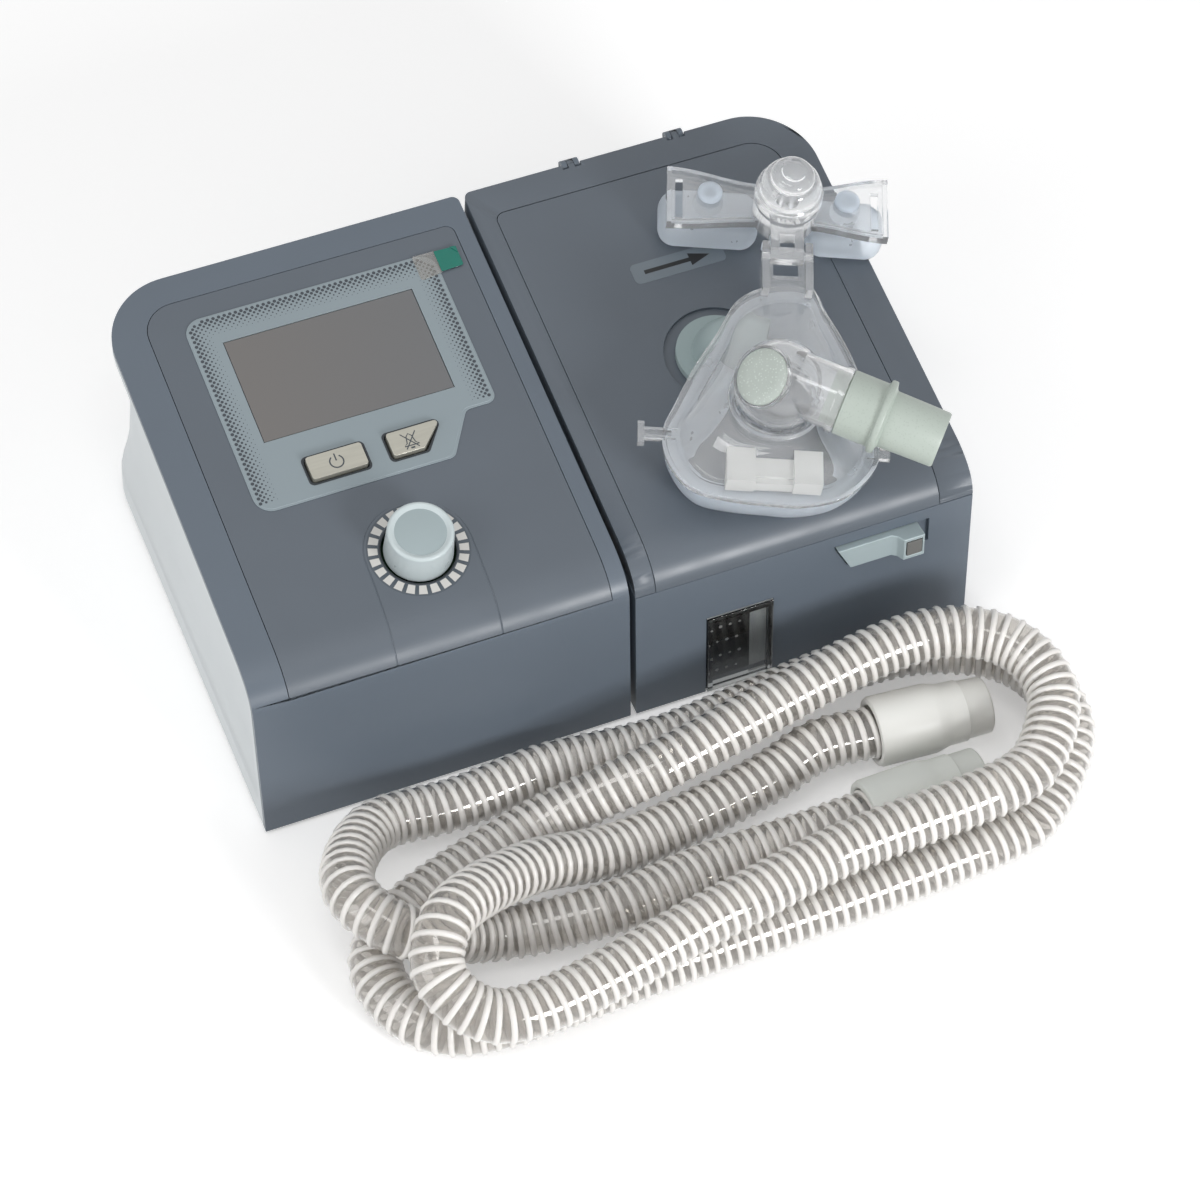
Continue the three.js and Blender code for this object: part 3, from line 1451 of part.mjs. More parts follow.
// The stepped cuffs that take the hose's ends
function hose_cuff(from, to, lift) {
  const start = new THREE.Vector3(...from);
  const axis = new THREE.Vector3(...to).sub(start);
  const length = axis.length();
  const big = 14.2;
  const middle = 12.5;
  const end = 11.6;
  const socket = hose_outer + gap;
  const seat = 22;
  const profile = [
    [socket, 0], [big - 1, 0], [big, 1.2], [big - 0.2, 0.52 * length], [middle, 0.62 * length],
    [middle - 0.2, 0.78 * length], [end, 0.79 * length], [end - 0.2, length - 1], [end - 0.8, length],
    [9.4, length], [9.4, seat + lift], [socket, seat + lift], [socket, 0],
  ];
  const turn = new THREE.Quaternion().setFromUnitVectors(new THREE.Vector3(0, 0, 1), axis.normalize());
  return lathe(profile, 18).applyQuaternion(turn).translate(start.x, start.y, start.z);
}

const seat_gap = 0.5;
const hose_cuff_a = hose_cuff([80, -147, 14.6], [127.6, -150.7, 14.6], seat_gap);
const hose_cuff_b = hose_cuff([62, -181, 14.6], [111.6, -179.6, 14.6], seat_gap);

// The assembly

const machine = new THREE.Group();
machine.add(top_group);
machine.add(front_group);
const hose_group = new THREE.Group();
hose_group.position.set(0, hose_plane_y, 0);
machine.add(hose_group);

function add(parent, name, geometry, material) {
  const piece = new THREE.Mesh(welded(geometry), material);
  piece.geometry.computeVertexNormals();
  piece.name = name;
  parent.add(piece);
  return piece;
}

add(machine, 'main_body', main_body, light_body);
add(machine, 'main_housing', main_housing, dark_front);
add(machine, 'main_cover', main_cover, dark_cover);
add(top_group, 'display_bezel', display_bezel, blue_grey);
add(top_group, 'display_glass', display_glass, screen_glass);
add(top_group, 'screen_film', screen_film, green_film);
add(top_group, 'control_board', control_board, circuit_green);
add(top_group, 'encoder_body', encoder_body, black_plastic);
add(machine, 'main_board', main_board, circuit_green);
add(machine, 'power_inlet', power_inlet, black_plastic);
add(machine, 'motor', motor, steel);
add(machine, 'blower_volute', blower_volute, white_plastic);
add(machine, 'blower_cover', blower_cover, white_plastic);
add(machine, 'intake_muffler', intake_muffler, foam);
add(machine, 'outlet_duct', outlet_duct, white_plastic);
add(machine, 'dock_seal', dock_seal, rubber);
add(machine, 'filter_pad', filter_pad, foam);
for (const [name, [x, y]] of Object.entries({ ...main_feet, ...humidifier_feet })) {
  add(machine, name, placed(foot, x, y), rubber);
}
add(machine, 'filter_cover', filter_cover, light_body);
add(top_group, 'power_button', power_button, silver_key);
add(top_group, 'mute_button', mute_button, silver_key);
add(top_group, 'encoder_shaft', encoder_shaft, steel);
add(top_group, 'knob', knob, pale_grip);
add(machine, 'impeller', impeller, white_plastic);

add(machine, 'humidifier_base', humidifier_base, dark_front);
add(front_group, 'level_window', level_window, clear_plastic);
add(machine, 'heater_plate', heater_plate, aluminium);
add(machine, 'water_tank', water_tank, clear_plastic);
add(machine, 'tank_lid', tank_lid, clear_plastic);
add(machine, 'port_seal', port_seal, clear_silicone);
add(machine, 'inlet_tube', inlet_tube, port_plastic);
add(machine, 'hinge_pin_left', hinge_pins[0], steel);
add(machine, 'hinge_pin_right', hinge_pins[1], steel);
add(front_group, 'latch_slider', latch_slider, pale_grip);
add(front_group, 'latch_pad', latch_pad, black_plastic);
add(machine, 'humidifier_lid', humidifier_lid, dark_cover);
add(machine, 'lid_panel', lid_panel, dark_cover);
add(top_group, 'lid_liner', lid_liner, blue_grey);
add(top_group, 'outlet_port', outlet_port, port_plastic);

add(mask_group, 'mask_shell', mask_shell, clear_plastic);
add(mask_group, 'mask_cushion', mask_cushion, clear_silicone);
add(mask_group, 'port_cap', port_cap, clear_silicone);
add(mask_group, 'elbow', elbow, clear_plastic);
add(mask_group, 'vent_disc', vent_disc, cuff_plastic);
add(mask_group, 'swivel_cuff', swivel_cuff, cuff_plastic);
add(mask_group, 'forehead_arm', forehead_arm, clear_plastic);
add(mask_group, 'forehead_dial', forehead_dial, clear_plastic);
add(mask_group, 'pad_left', pad_left, clear_silicone);
add(mask_group, 'pad_right', pad_right, clear_silicone);

add(hose_group, 'hose', hose, hose_plastic);
add(hose_group, 'hose_cuff_a', hose_cuff_a, white_plastic);
add(hose_group, 'hose_cuff_b', hose_cuff_b, cuff_plastic);

// The origin lies under the middle of everything but the loose hose

const group = new THREE.Group();
group.add(machine);
group.updateMatrixWorld(true);
const box = new THREE.Box3();
machine.traverse((piece) => {
  if (piece.isMesh && piece.parent !== hose_group) {
    box.expandByObject(piece, true);
  }
});
const middle = box.getCenter(new THREE.Vector3());
machine.position.set(-middle.x, -middle.y, -box.min.z);
group.updateMatrixWorld(true);

export default group;
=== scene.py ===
"""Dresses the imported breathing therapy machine: housings, keys, mask, hose, camera and light."""

import logging
import math
from contextlib import contextmanager
from dataclasses import dataclass, field
from enum import Enum
from typing import Callable, Iterator, Sequence

import bmesh
import bpy
from mathutils import Matrix, Vector


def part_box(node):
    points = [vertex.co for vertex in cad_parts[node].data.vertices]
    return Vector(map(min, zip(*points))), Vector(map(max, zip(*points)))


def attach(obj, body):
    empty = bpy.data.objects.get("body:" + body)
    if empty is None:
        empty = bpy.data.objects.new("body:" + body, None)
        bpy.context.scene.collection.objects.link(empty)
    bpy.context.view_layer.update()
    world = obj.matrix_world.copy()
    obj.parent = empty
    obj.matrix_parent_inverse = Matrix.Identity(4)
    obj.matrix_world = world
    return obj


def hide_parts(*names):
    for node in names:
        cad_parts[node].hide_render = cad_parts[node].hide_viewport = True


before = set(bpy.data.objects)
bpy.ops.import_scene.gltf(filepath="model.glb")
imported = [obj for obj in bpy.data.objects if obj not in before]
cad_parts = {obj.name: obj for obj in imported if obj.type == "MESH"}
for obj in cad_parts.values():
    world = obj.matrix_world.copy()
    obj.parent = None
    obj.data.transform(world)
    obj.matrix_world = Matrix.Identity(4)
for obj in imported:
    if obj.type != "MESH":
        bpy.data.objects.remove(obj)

log = logging.getLogger("breathing_machine")

MM = 0.001
BEYOND = 20.0
ABOVE = 130.0
FAR = 260.0
Point = tuple[float, ...]
Outline = list[tuple[float, float]]
Ring = list[tuple[float, float, float]]
Corners = Sequence[tuple[float, float, float]]
Piece = bpy.types.Object
Socket = bpy.types.NodeSocket
Material = bpy.types.Material


class Mode(Enum):
    """Ways to combine two solids."""

    JOIN = "UNION"
    CUT = "DIFFERENCE"
    COMMON = "INTERSECT"


# Sizes and places that several sub-assemblies share, in millimetres


@dataclass(frozen=True)
class Sizes:
    """The housings' sizes and the places of port, mask and hose, as in the CAD model."""

    main_left: float = -153.6
    main_right: float = -1.25
    humidifier_left: float = 1.25
    humidifier_right: float = 144.5
    depth: float = 196.0
    foot: float = 1.5
    edge_y: float = 13.1
    edge_z: float = 78.4
    slope: float = 6.62
    fold_front: float = 12.7
    fold_top: float = 19.0
    outer_corner: float = 28.0
    inner_corner: float = 3.0
    wall: float = 2.4
    gap: float = 0.3
    foot_x: float = -136.0
    foot_y: float = 22.0
    dock_y: float = 110.0
    dock_z: float = 48.0
    port_x: float = 69.8
    port_v: float = 82.3
    port_bend: float = 11.5
    mask_x: float = 75.5
    mask_v: float = 43.9
    mask_turn: float = -22.6
    hose_y: float = 99.5

    @property
    def rise(self) -> float:
        """Height gained by the top for each millimetre to the rear."""
        return math.tan(math.radians(self.slope))

    @property
    def cosine(self) -> float:
        """Cosine of the top's slope."""
        return math.cos(math.radians(self.slope))

    @property
    def lean(self) -> float:
        """Rearward lean of the front for each millimetre of height."""
        return self.edge_y / self.edge_z


S = Sizes()
PORT_HEADING = Vector((0.82, -0.574, 0)).normalized()


# Frames: CAD places in millimetres to the scene's metres


class Frames:
    """Matrices from each group's own millimetres to metres in the row frame."""

    def __init__(self) -> None:
        """Takes the model's shift from the place of a foot."""
        low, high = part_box("main_foot_front_left")
        middle = (low + high) / 2
        shift = Vector((middle.x - S.foot_x * MM, middle.y - S.foot_y * MM, 0.0))
        self.raw = Matrix.Translation(shift) @ Matrix.Scale(MM, 4)
        slope = Matrix.Rotation(math.radians(S.slope), 4, "X")
        self.top = self.raw @ Matrix.Translation((0, S.edge_y, S.edge_z)) @ slope
        turn = Matrix.Rotation(math.radians(S.mask_turn), 4, "Z")
        self.mask = self.top @ Matrix.Translation((S.mask_x, S.mask_v, 0)) @ turn
        self.front = self.raw @ Matrix.Rotation(-math.atan(S.lean), 4, "X")
        self.hose = self.raw @ Matrix.Translation((0, S.hose_y, 0))


# Mesh helpers


def linked(name: str, data: bpy.types.ID) -> Piece:
    """Makes an object of some data and links it to the scene.

    Args:
        name: the object's name.
        data: its mesh, camera or lamp data.

    Returns:
        The object.
    """
    made = bpy.data.objects.new(name, data)
    bpy.context.scene.collection.objects.link(made)
    return made


@contextmanager
def edited(mesh: bpy.types.Mesh) -> Iterator[bmesh.types.BMesh]:
    """Opens a mesh for editing and writes the changes back.

    Args:
        mesh: the mesh to edit.

    Yields:
        The open mesh.
    """
    shape = bmesh.new()
    shape.from_mesh(mesh)
    yield shape
    shape.to_mesh(mesh)
    shape.free()


def mesh_object(name: str, points: Sequence[Point], faces: Sequence[Sequence[int]]) -> Piece:
    """Makes an object of points and faces, with its faces turned outwards.

    Args:
        name: the object's name.
        points: corners in millimetres.
        faces: corner numbers of each face.

    Returns:
        The new object, linked to the scene.
    """
    mesh = bpy.data.meshes.new(name)
    mesh.from_pydata([tuple(p) for p in points], [], [tuple(f) for f in faces])
    with edited(mesh) as shape:
        bmesh.ops.remove_doubles(shape, verts=shape.verts, dist=1e-4)
        bmesh.ops.dissolve_degenerate(shape, edges=shape.edges, dist=1e-5)
        bmesh.ops.recalc_face_normals(shape, faces=shape.faces)
    return linked(name, mesh)


def sized_points(name: str, spots: Sequence[Point], sizes: Sequence[float]) -> Piece:
    """Makes loose points that carry their size as an attribute.

    Args:
        name: the object's name.
        spots: the points' places.
        sizes: the size at each point.

    Returns:
        The points as an object.
    """
    mesh = bpy.data.meshes.new(name)
    mesh.from_pydata([tuple(p) for p in spots], [], [])
    mesh.attributes.new("size", "FLOAT", "POINT").data.foreach_set("value", sizes)
    return linked(name, mesh)


def skin(rings: Sequence[Ring], closed: bool = False) -> Piece:
    """Joins rings of equal length into one closed skin.

    Args:
        rings: the rings in order.
        closed: true where the last ring meets the first, false for capped ends.

    Returns:
        The skin as an object.
    """
    count = len(rings[0])
    points = [p for ring in rings for p in ring]
    faces: list[list[int]] = []
    total = len(rings)
    for r in range(total if closed else total - 1):
        here = r * count
        there = ((r + 1) % total) * count
        for i in range(count):
            j = (i + 1) % count
            faces.append([here + i, here + j, there + j, there + i])
    if not closed:
        faces.append(list(range(count)))
        faces.append(list(range((total - 1) * count, total * count)))
    return mesh_object("skin", points, faces)


def prism(outline: Outline, z0: float, z1: float) -> Piece:
    """Draws an outline up from one height to another."""
    return skin([[(x, y, z0) for x, y in outline], [(x, y, z1) for x, y in outline]])


def side_prism(outline: Outline, x0: float, x1: float) -> Piece:
    """Draws an outline in Y and Z along X."""
    return skin([[(x0, y, z) for y, z in outline], [(x1, y, z) for y, z in outline]])


def face_prism(outline: Outline, y0: float, y1: float) -> Piece:
    """Draws an outline in X and Z along Y."""
    return skin([[(x, y0, z) for x, z in outline], [(x, y1, z) for x, z in outline]])


def block(x0: float, x1: float, y0: float, y1: float, z0: float, z1: float) -> Piece:
    """Makes a straight-edged body, used to cut and join others."""
    return prism([(x0, y0), (x1, y0), (x1, y1), (x0, y1)], z0, z1)


def circle(radius: float, steps: int, x: float = 0.0, y: float = 0.0) -> Outline:
    """Gives a circle as an outline."""
    turn = 2 * math.pi / steps
    return [(x + radius * math.cos(i * turn), y + radius * math.sin(i * turn)) for i in range(steps)]


def rod(radius: float, z0: float, z1: float, x: float = 0.0, y: float = 0.0, steps: int = 64) -> Piece:
    """Makes an upright rod."""
    return prism(circle(radius, steps, x, y), z0, z1)


def rod_along_x(radius: float, x0: float, x1: float, y: float, z: float, steps: int = 48) -> Piece:
    """Makes a rod along X."""
    return side_prism(circle(radius, steps, y, z), x0, x1)


def lathe(profile: Sequence[tuple[float, float]], steps: int = 72) -> Piece:
    """Turns a profile of radius and height about Z.

    Args:
        profile: corners that start and end on the axis, or close on themselves.
        steps: copies round the axis.

    Returns:
        The closed turned body.
    """
    points: list[Point] = []
    faces: list[list[int]] = []
    on_axis = profile[0][0] == 0
    corners = list(profile) if on_axis else list(profile[:-1])
    count = len(corners)
    for i in range(steps):
        angle = 2 * math.pi * i / steps
        points += [(r * math.cos(angle), r * math.sin(angle), z) for r, z in corners]
    for i in range(steps):
        here = i * count
        there = (i + 1) % steps * count
        for k in range(count - 1 if on_axis else count):
            m = (k + 1) % count
            faces.append([here + k, here + m, there + m, there + k])
    return mesh_object("lathe", points, faces)


def rounded(corners: Corners, steps: int = 10) -> Outline:
    """Rounds the corners of an outline.

    Args:
        corners: x, y and radius of each corner.
        steps: facets in each rounded corner.

    Returns:
        The plain outline.
    """
    outline: Outline = []
    count = len(corners)
    for i, (x, y, radius) in enumerate(corners):
        if radius <= 0:
            outline.append((x, y))
            continue
        here = Vector((x, y))
        before = (Vector(corners[i - 1][:2]) - here).normalized()
        after = (Vector(corners[(i + 1) % count][:2]) - here).normalized()
        half = math.acos(max(-1.0, min(1.0, before.dot(after)))) / 2
        reach = radius / math.tan(half)
        centre = here + (before + after).normalized() * (radius / math.sin(half))
        start = here + before * reach - centre
        end = here + after * reach - centre
        sweep = math.atan2(start.cross(end), start.dot(end))
        for k in range(steps + 1):
            spot = Matrix.Rotation(sweep * k / steps, 2) @ start + centre
            outline.append((spot.x, spot.y))
    return outline


def rounded_box(x0: float, x1: float, y0: float, y1: float, radius: float, steps: int = 10) -> Outline:
    """Gives a rectangle with round corners as an outline."""
    return rounded([(x0, y0, radius), (x1, y0, radius), (x1, y1, radius), (x0, y1, radius)], steps)


def moved(made: Piece, matrix: Matrix) -> Piece:
    """Moves the mesh itself, so that the object stays at the origin.

    Args:
        made: the object.
        matrix: the move, in the mesh's own units.

    Returns:
        The same object.
    """
    made.data.transform(matrix)
    if matrix.determinant() < 0:
        made.data.flip_normals()
    return made


def baked(made: Piece) -> Piece:
    """Applies every modifier to the mesh and removes them.

    Args:
        made: the object.

    Returns:
        The same object with a plain mesh.
    """
    bpy.context.view_layer.update()
    graph = bpy.context.evaluated_depsgraph_get()
    mesh = bpy.data.meshes.new_from_object(made.evaluated_get(graph))
    old = made.data
    made.modifiers.clear()
    made.data = mesh
    bpy.data.meshes.remove(old)
    return made


def combined(base: Piece, mode: Mode, *tools: Piece) -> Piece:
    """Joins, cuts or intersects a solid with others, which are used up.

    Args:
        base: the solid that is changed.
        mode: how they combine.
        tools: the other solids.

    Returns:
        The changed solid.
    """
    for tool in tools:
        step = base.modifiers.new("solid", "BOOLEAN")
        step.operation = mode.value
        step.object = tool
        step.solver = "MANIFOLD"
    baked(base)
    for tool in tools:
        mesh = tool.data
        bpy.data.objects.remove(tool)
        bpy.data.meshes.remove(mesh)
    if not base.data.polygons:
        raise ValueError(f"{base.name} came out empty")
    return base


def join(base: Piece, *tools: Piece) -> Piece:
    """Joins solids."""
    return combined(base, Mode.JOIN, *tools)


def cut(base: Piece, *tools: Piece) -> Piece:
    """Cuts solids away."""
    return combined(base, Mode.CUT, *tools)


def common(base: Piece, *tools: Piece) -> Piece:
    """Keeps what all solids share."""
    return combined(base, Mode.COMMON, *tools)


def smooth(made: Piece, angle: float = 35.0) -> Piece:
    """Shades smooth, apart from edges sharper than an angle in degrees.

    Args:
        made: the object.
        angle: edges sharper than this, in degrees, stay sharp.

    Returns:
        The same object.
    """
    made.data.shade_smooth()
    made.data.set_sharp_from_angle(angle=math.radians(angle))
    return made


def eased(made: Piece, width: float, segments: int = 3, angle: float = 38.0) -> Piece:
    """Rounds the sharp edges by a small width, in the mesh's own units.

    Args:
        made: a closed solid.
        width: the rounding's width.
        segments: facets across it.
        angle: edges sharper than this, in degrees, are rounded.

    Returns:
        The same object with its edges rounded.
    """
    with edited(made.data) as shape:
        bmesh.ops.remove_doubles(shape, verts=shape.verts, dist=1e-4)
        bmesh.ops.dissolve_limit(shape, angle_limit=math.radians(0.4), verts=shape.verts,
                                 edges=shape.edges)
    made.data.shade_smooth()
    made.data.materials.clear()
    for _ in range(2):
        made.data.materials.append(None)
    bevel = made.modifiers.new("edges", "BEVEL")
    bevel.material = 1
    bevel.width = width
    bevel.segments = segments
    bevel.limit_method = "ANGLE"
    bevel.angle_limit = math.radians(angle)
    bevel.use_clamp_overlap = True
    bevel.harden_normals = False
    even = made.modifiers.new("even", "WEIGHTED_NORMAL")
    even.keep_sharp = False
    even.weight = 80
    baked(made)
    faces = made.data.polygons
    # Bevel faces are marked for the finish, which lightens them as a painted edge highlight with some
    # wear.
    sheen_and_wear = made.data.attributes.new("sheen_and_wear", "FLOAT", "FACE")
    sheen_and_wear.data.foreach_set("value", [float(face.material_index) for face in faces])
    faces.foreach_set("material_index", [0] * len(faces))
    return made


def from_node(node: str) -> Piece:
    """Copies a CAD node's mesh, merged, in millimetres of the row frame.

    Args:
        node: the CAD node's name.

    Returns:
        The copy.
    """
    mesh = bpy.data.objects[node].data.copy()
    mesh.materials.clear()
    mesh.transform(Matrix.Scale(1 / MM, 4))
    with edited(mesh) as shape:
        bmesh.ops.remove_doubles(shape, verts=shape.verts, dist=1e-3)
    return linked(node + "_copy", mesh)


# Node trees for finishes and geometry


class Graph:
    """A node tree under construction."""

    def __init__(self, tree: bpy.types.NodeTree) -> None:
        """Takes the tree that is filled."""
        self.tree = tree

    def fill(self, node: bpy.types.Node, values: dict[str, object]) -> bpy.types.Node:
        """Sets a node's properties and inputs, and links the sockets that are given.

        Args:
            node: the node.
            values: a value or socket for each entry, with _ for a space in its name.

        Returns:
            The same node.
        """
        for key, value in values.items():
            entry = key.replace("_", " ")
            if isinstance(value, Socket):
                self.link(value, node.inputs[entry])
            elif hasattr(node, key):
                setattr(node, key, value)
            else:
                node.inputs[entry].default_value = value
        return node

    def add(self, kind: str, **values: object) -> bpy.types.Node:
        """Adds a node and fills it in."""
        return self.fill(self.tree.nodes.new(kind), values)

    def link(self, source: Socket, target: Socket) -> None:
        """Links two sockets."""
        self.tree.links.new(source, target)

    def math(self, operation: str, a: object, b: object = None) -> Socket:
        """Adds a sum of values or sockets.

        Args:
            operation: the sum, such as MULTIPLY.
            a: the first number or socket.
            b: the second, where the sum takes two.

        Returns:
            The result's socket.
        """
        node = self.add("ShaderNodeMath", operation=operation)
        for socket, value in zip(node.inputs, (a, b)):
            if isinstance(value, Socket):
                self.link(value, socket)
            elif value is not None:
                socket.default_value = value
        return node.outputs[0]

    def seen(self) -> Socket:
        """Tells rays that show a surface from those that light it.

        Returns:
            1 for camera, glossy and transmitted rays, 0 for the others.
        """
        rays = self.add("ShaderNodeLightPath").outputs
        first = self.math("MAXIMUM", rays["Is Camera Ray"], rays["Is Glossy Ray"])
        return self.math("MAXIMUM", first, rays["Is Transmission Ray"])


# Finishes


class Nodes(Graph):
    """A material's shader nodes under construction."""

    def __init__(self, name: str) -> None:
        """Starts a material with a Principled shader.

        Args:
            name: the material's name.
        """
        self.material = bpy.data.materials.new(name)
        self.material.use_nodes = True
        super().__init__(self.material.node_tree)
        self.shader = self.tree.nodes["Principled BSDF"]

    def shade(self, **values: object) -> None:
        """Sets or links inputs of the Principled shader."""
        self.fill(self.shader, values)

    def place(self) -> Socket:
        """Gives Object coordinates."""
        return self.add("ShaderNodeTexCoord").outputs["Object"]

    def noise(self, scale: float, detail: float = 2.0) -> Socket:
        """Gives a noise on Object coordinates, with so many waves a metre."""
        return self.add("ShaderNodeTexNoise", Scale=scale, Detail=detail,
                        Vector=self.place()).outputs["Fac"]

    def spread(self, factor: Socket, low: float, high: float,
               start: float = 0.3, end: float = 0.7) -> Socket:
        """Maps a factor onto a range."""
        node = self.add("ShaderNodeMapRange", From_Min=start, From_Max=end, To_Min=low, To_Max=high,
                        Value=factor)
        return node.outputs["Result"]

    def blend(self, factor: Socket, a: Socket | Point, b: Point) -> Socket:
        """Blends two colours by a factor.

        Args:
            factor: 0 for the first colour, 1 for the second.
            a: the first colour, or its socket.
            b: the second colour.

        Returns:
            The blended colour.
        """
        node = self.add("ShaderNodeMix", data_type="RGBA", Factor=factor)
        if isinstance(a, Socket):
            self.link(a, node.inputs[6])
        else:
            node.inputs[6].default_value = (*a, 1.0)
        node.inputs[7].default_value = (*b, 1.0)
        return node.outputs[2]

    def bump(self, height: Socket, distance: float, strength: float,
             before: Socket | None = None) -> Socket:
        """Bumps the surface by a height.

        Args:
            height: the height, from 0 to 1.
            distance: how far a height of 1 lies above 0, in metres.
            strength: how strongly the bump counts.
            before: the normal of an earlier bump.

        Returns:
            The bumped normal.
        """
        node = self.add("ShaderNodeBump", Distance=distance, Strength=strength, Height=height)
        if before is not None:
            self.link(before, node.inputs["Normal"])
        self.link(node.outputs["Normal"], self.shader.inputs["Normal"])
        return node.outputs["Normal"]


def linear(hexa: str) -> Point:
    """Turns a screen colour such as 646e78 into linear light."""
    parts = [int(hexa[i:i + 2], 16) / 255 for i in (0, 2, 4)]
    return tuple(v / 12.92 if v <= 0.04045 else ((v + 0.055) / 1.055) ** 2.4 for v in parts)


def scaled(colour: Point, factor: float) -> Point:
    """Makes a colour lighter or darker."""
    return tuple(min(1.0, v * factor) for v in colour)


@dataclass(frozen=True)
class MouldedPlastic:
    """Moulded plastic with a spark-eroded grain, faint flow marks and lighter edges, which are painted
    highlight with some wear.
    """

    name: str
    colour: str
    roughness: float = 0.42
    grain: float = 0.00003
    grain_scale: float = 2600.0
    mottle: float = 0.03
    sheen_and_wear: float = 0.0
    specks: float = 0.0
    coat: float = 0.0
    inner_light: float = 0.0

    def build(self) -> Material:
        """Builds the material.

        Returns:
            The material.
        """
        n = Nodes(self.name)
        base = linear(self.colour)
        cloud = n.spread(n.noise(18.0, 3.0), 0.0, 1.0)
        colour = n.blend(cloud, scaled(base, 1 - self.mottle), scaled(base, 1 + self.mottle))
        if self.specks:
            dots = n.add("ShaderNodeTexVoronoi", Scale=900.0, Vector=n.place())
            mask = n.spread(dots.outputs["Distance"], 1.0, 0.0, 0.12, 0.34)
            colour = n.blend(mask, colour, scaled(base, 1 - self.specks))
        # Lighter edges: a painted highlight along them, with some wear.
        if self.sheen_and_wear:
            colour = self.edge_sheen_and_wear(n, colour, base)
        first = n.bump(n.noise(self.grain_scale, 2.0), self.grain, 0.5)
        n.bump(n.noise(9.0, 1.0), 0.0004, 0.12, first)
        rough = n.spread(n.noise(60.0, 4.0), self.roughness - 0.04, self.roughness + 0.05)
        n.shade(Base_Color=colour, Roughness=rough, IOR=1.5, Coat_Weight=self.coat, Coat_Roughness=0.12,
                Subsurface_Weight=self.inner_light, Subsurface_Scale=0.002,
                Subsurface_Radius=(1.0, 1.0, 1.0))
        return n.material

    def edge_sheen_and_wear(self, n: Nodes, colour: Socket, base: Point) -> Socket:
        """Lightens the bevelled edges: a painted highlight along them, with a little wear where hands rub
        them.

        Args:
            n: the material's nodes.
            colour: the colour so far.
            base: the finish's own colour.

        Returns:
            The colour with its lighter edges, painted highlight and wear.
        """
        edge = n.add("ShaderNodeAttribute", attribute_name="sheen_and_wear").outputs["Fac"]
        patchy = n.spread(n.noise(140.0, 3.0), 0.4 * self.sheen_and_wear, self.sheen_and_wear)
        return n.blend(n.math("MULTIPLY", edge, patchy), colour, scaled(base, 1.6))


@dataclass(frozen=True)
class ClearPlastic:
    """Clear plastic or silicone, with flow waves and a slight haze."""

    name: str
    colour: str
    roughness: float = 0.03
    transmission: float = 1.0
    index: float = 1.49
    wave: float = 0.00012
    haze: float = 0.0
    gloss: float = 0.0

    def build(self) -> Material:
        """Builds the material.

        Returns:
            The material.
        """
        n = Nodes(self.name)
        base = linear(self.colour)
        n.bump(n.noise(70.0, 2.0), self.wave, 0.35)
        n.shade(Base_Color=n.blend(n.spread(n.noise(35.0, 3.0), 0.0, 1.0), scaled(base, 0.985), base),
                Roughness=n.spread(n.noise(120.0, 3.0), self.roughness, self.roughness * 1.6 + self.haze),
                Transmission_Weight=self.transmission, Coat_Weight=self.gloss, Coat_Roughness=0.02,
                IOR=self.index)
        return n.material


@dataclass(frozen=True)
class Metal:
    """Turned or lacquered metal with fine lines."""

    name: str
    colour: str
    roughness: float = 0.28
    metallic: float = 1.0
    lines: float = 0.00001
    coat: float = 0.0

    def build(self) -> Material:
        """Builds the material.

        Returns:
            The material.
        """
        n = Nodes(self.name)
        base = linear(self.colour)
        stretch = n.add("ShaderNodeMapping", Scale=(0.06, 1.0, 1.0), Vector=n.place())
        lines = n.add("ShaderNodeTexNoise", Scale=900.0, Detail=3.0, Vector=stretch.outputs["Vector"])
        fine = lines.outputs["Fac"]
        n.bump(fine, self.lines, 0.4)
        n.shade(Base_Color=n.blend(n.spread(fine, 0.0, 1.0), scaled(base, 0.95), scaled(base, 1.03)),
                Roughness=n.spread(fine, self.roughness - 0.04, self.roughness + 0.06),
                Metallic=self.metallic, Coat_Weight=self.coat, Coat_Roughness=0.08)
        return n.material


@dataclass(frozen=True)
class DarkGlass:
    """A switched-off display behind glass, a little browner to one side."""

    name: str
    left: str
    right: str

    def build(self) -> Material:
        """Builds the material.

        Returns:
            The material.
        """
        n = Nodes(self.name)
        along = n.add("ShaderNodeSeparateXYZ", Vector=n.place()).outputs["X"]
        across = n.spread(along, 0.0, 1.0, -0.115, -0.035)
        n.bump(n.noise(3000.0, 1.0), 0.000004, 0.3)
        n.shade(Base_Color=n.blend(across, linear(self.left), linear(self.right)),
                Roughness=n.spread(n.noise(400.0, 2.0), 0.16, 0.24), Coat_Weight=0.4, Coat_Roughness=0.03)
        return n.material


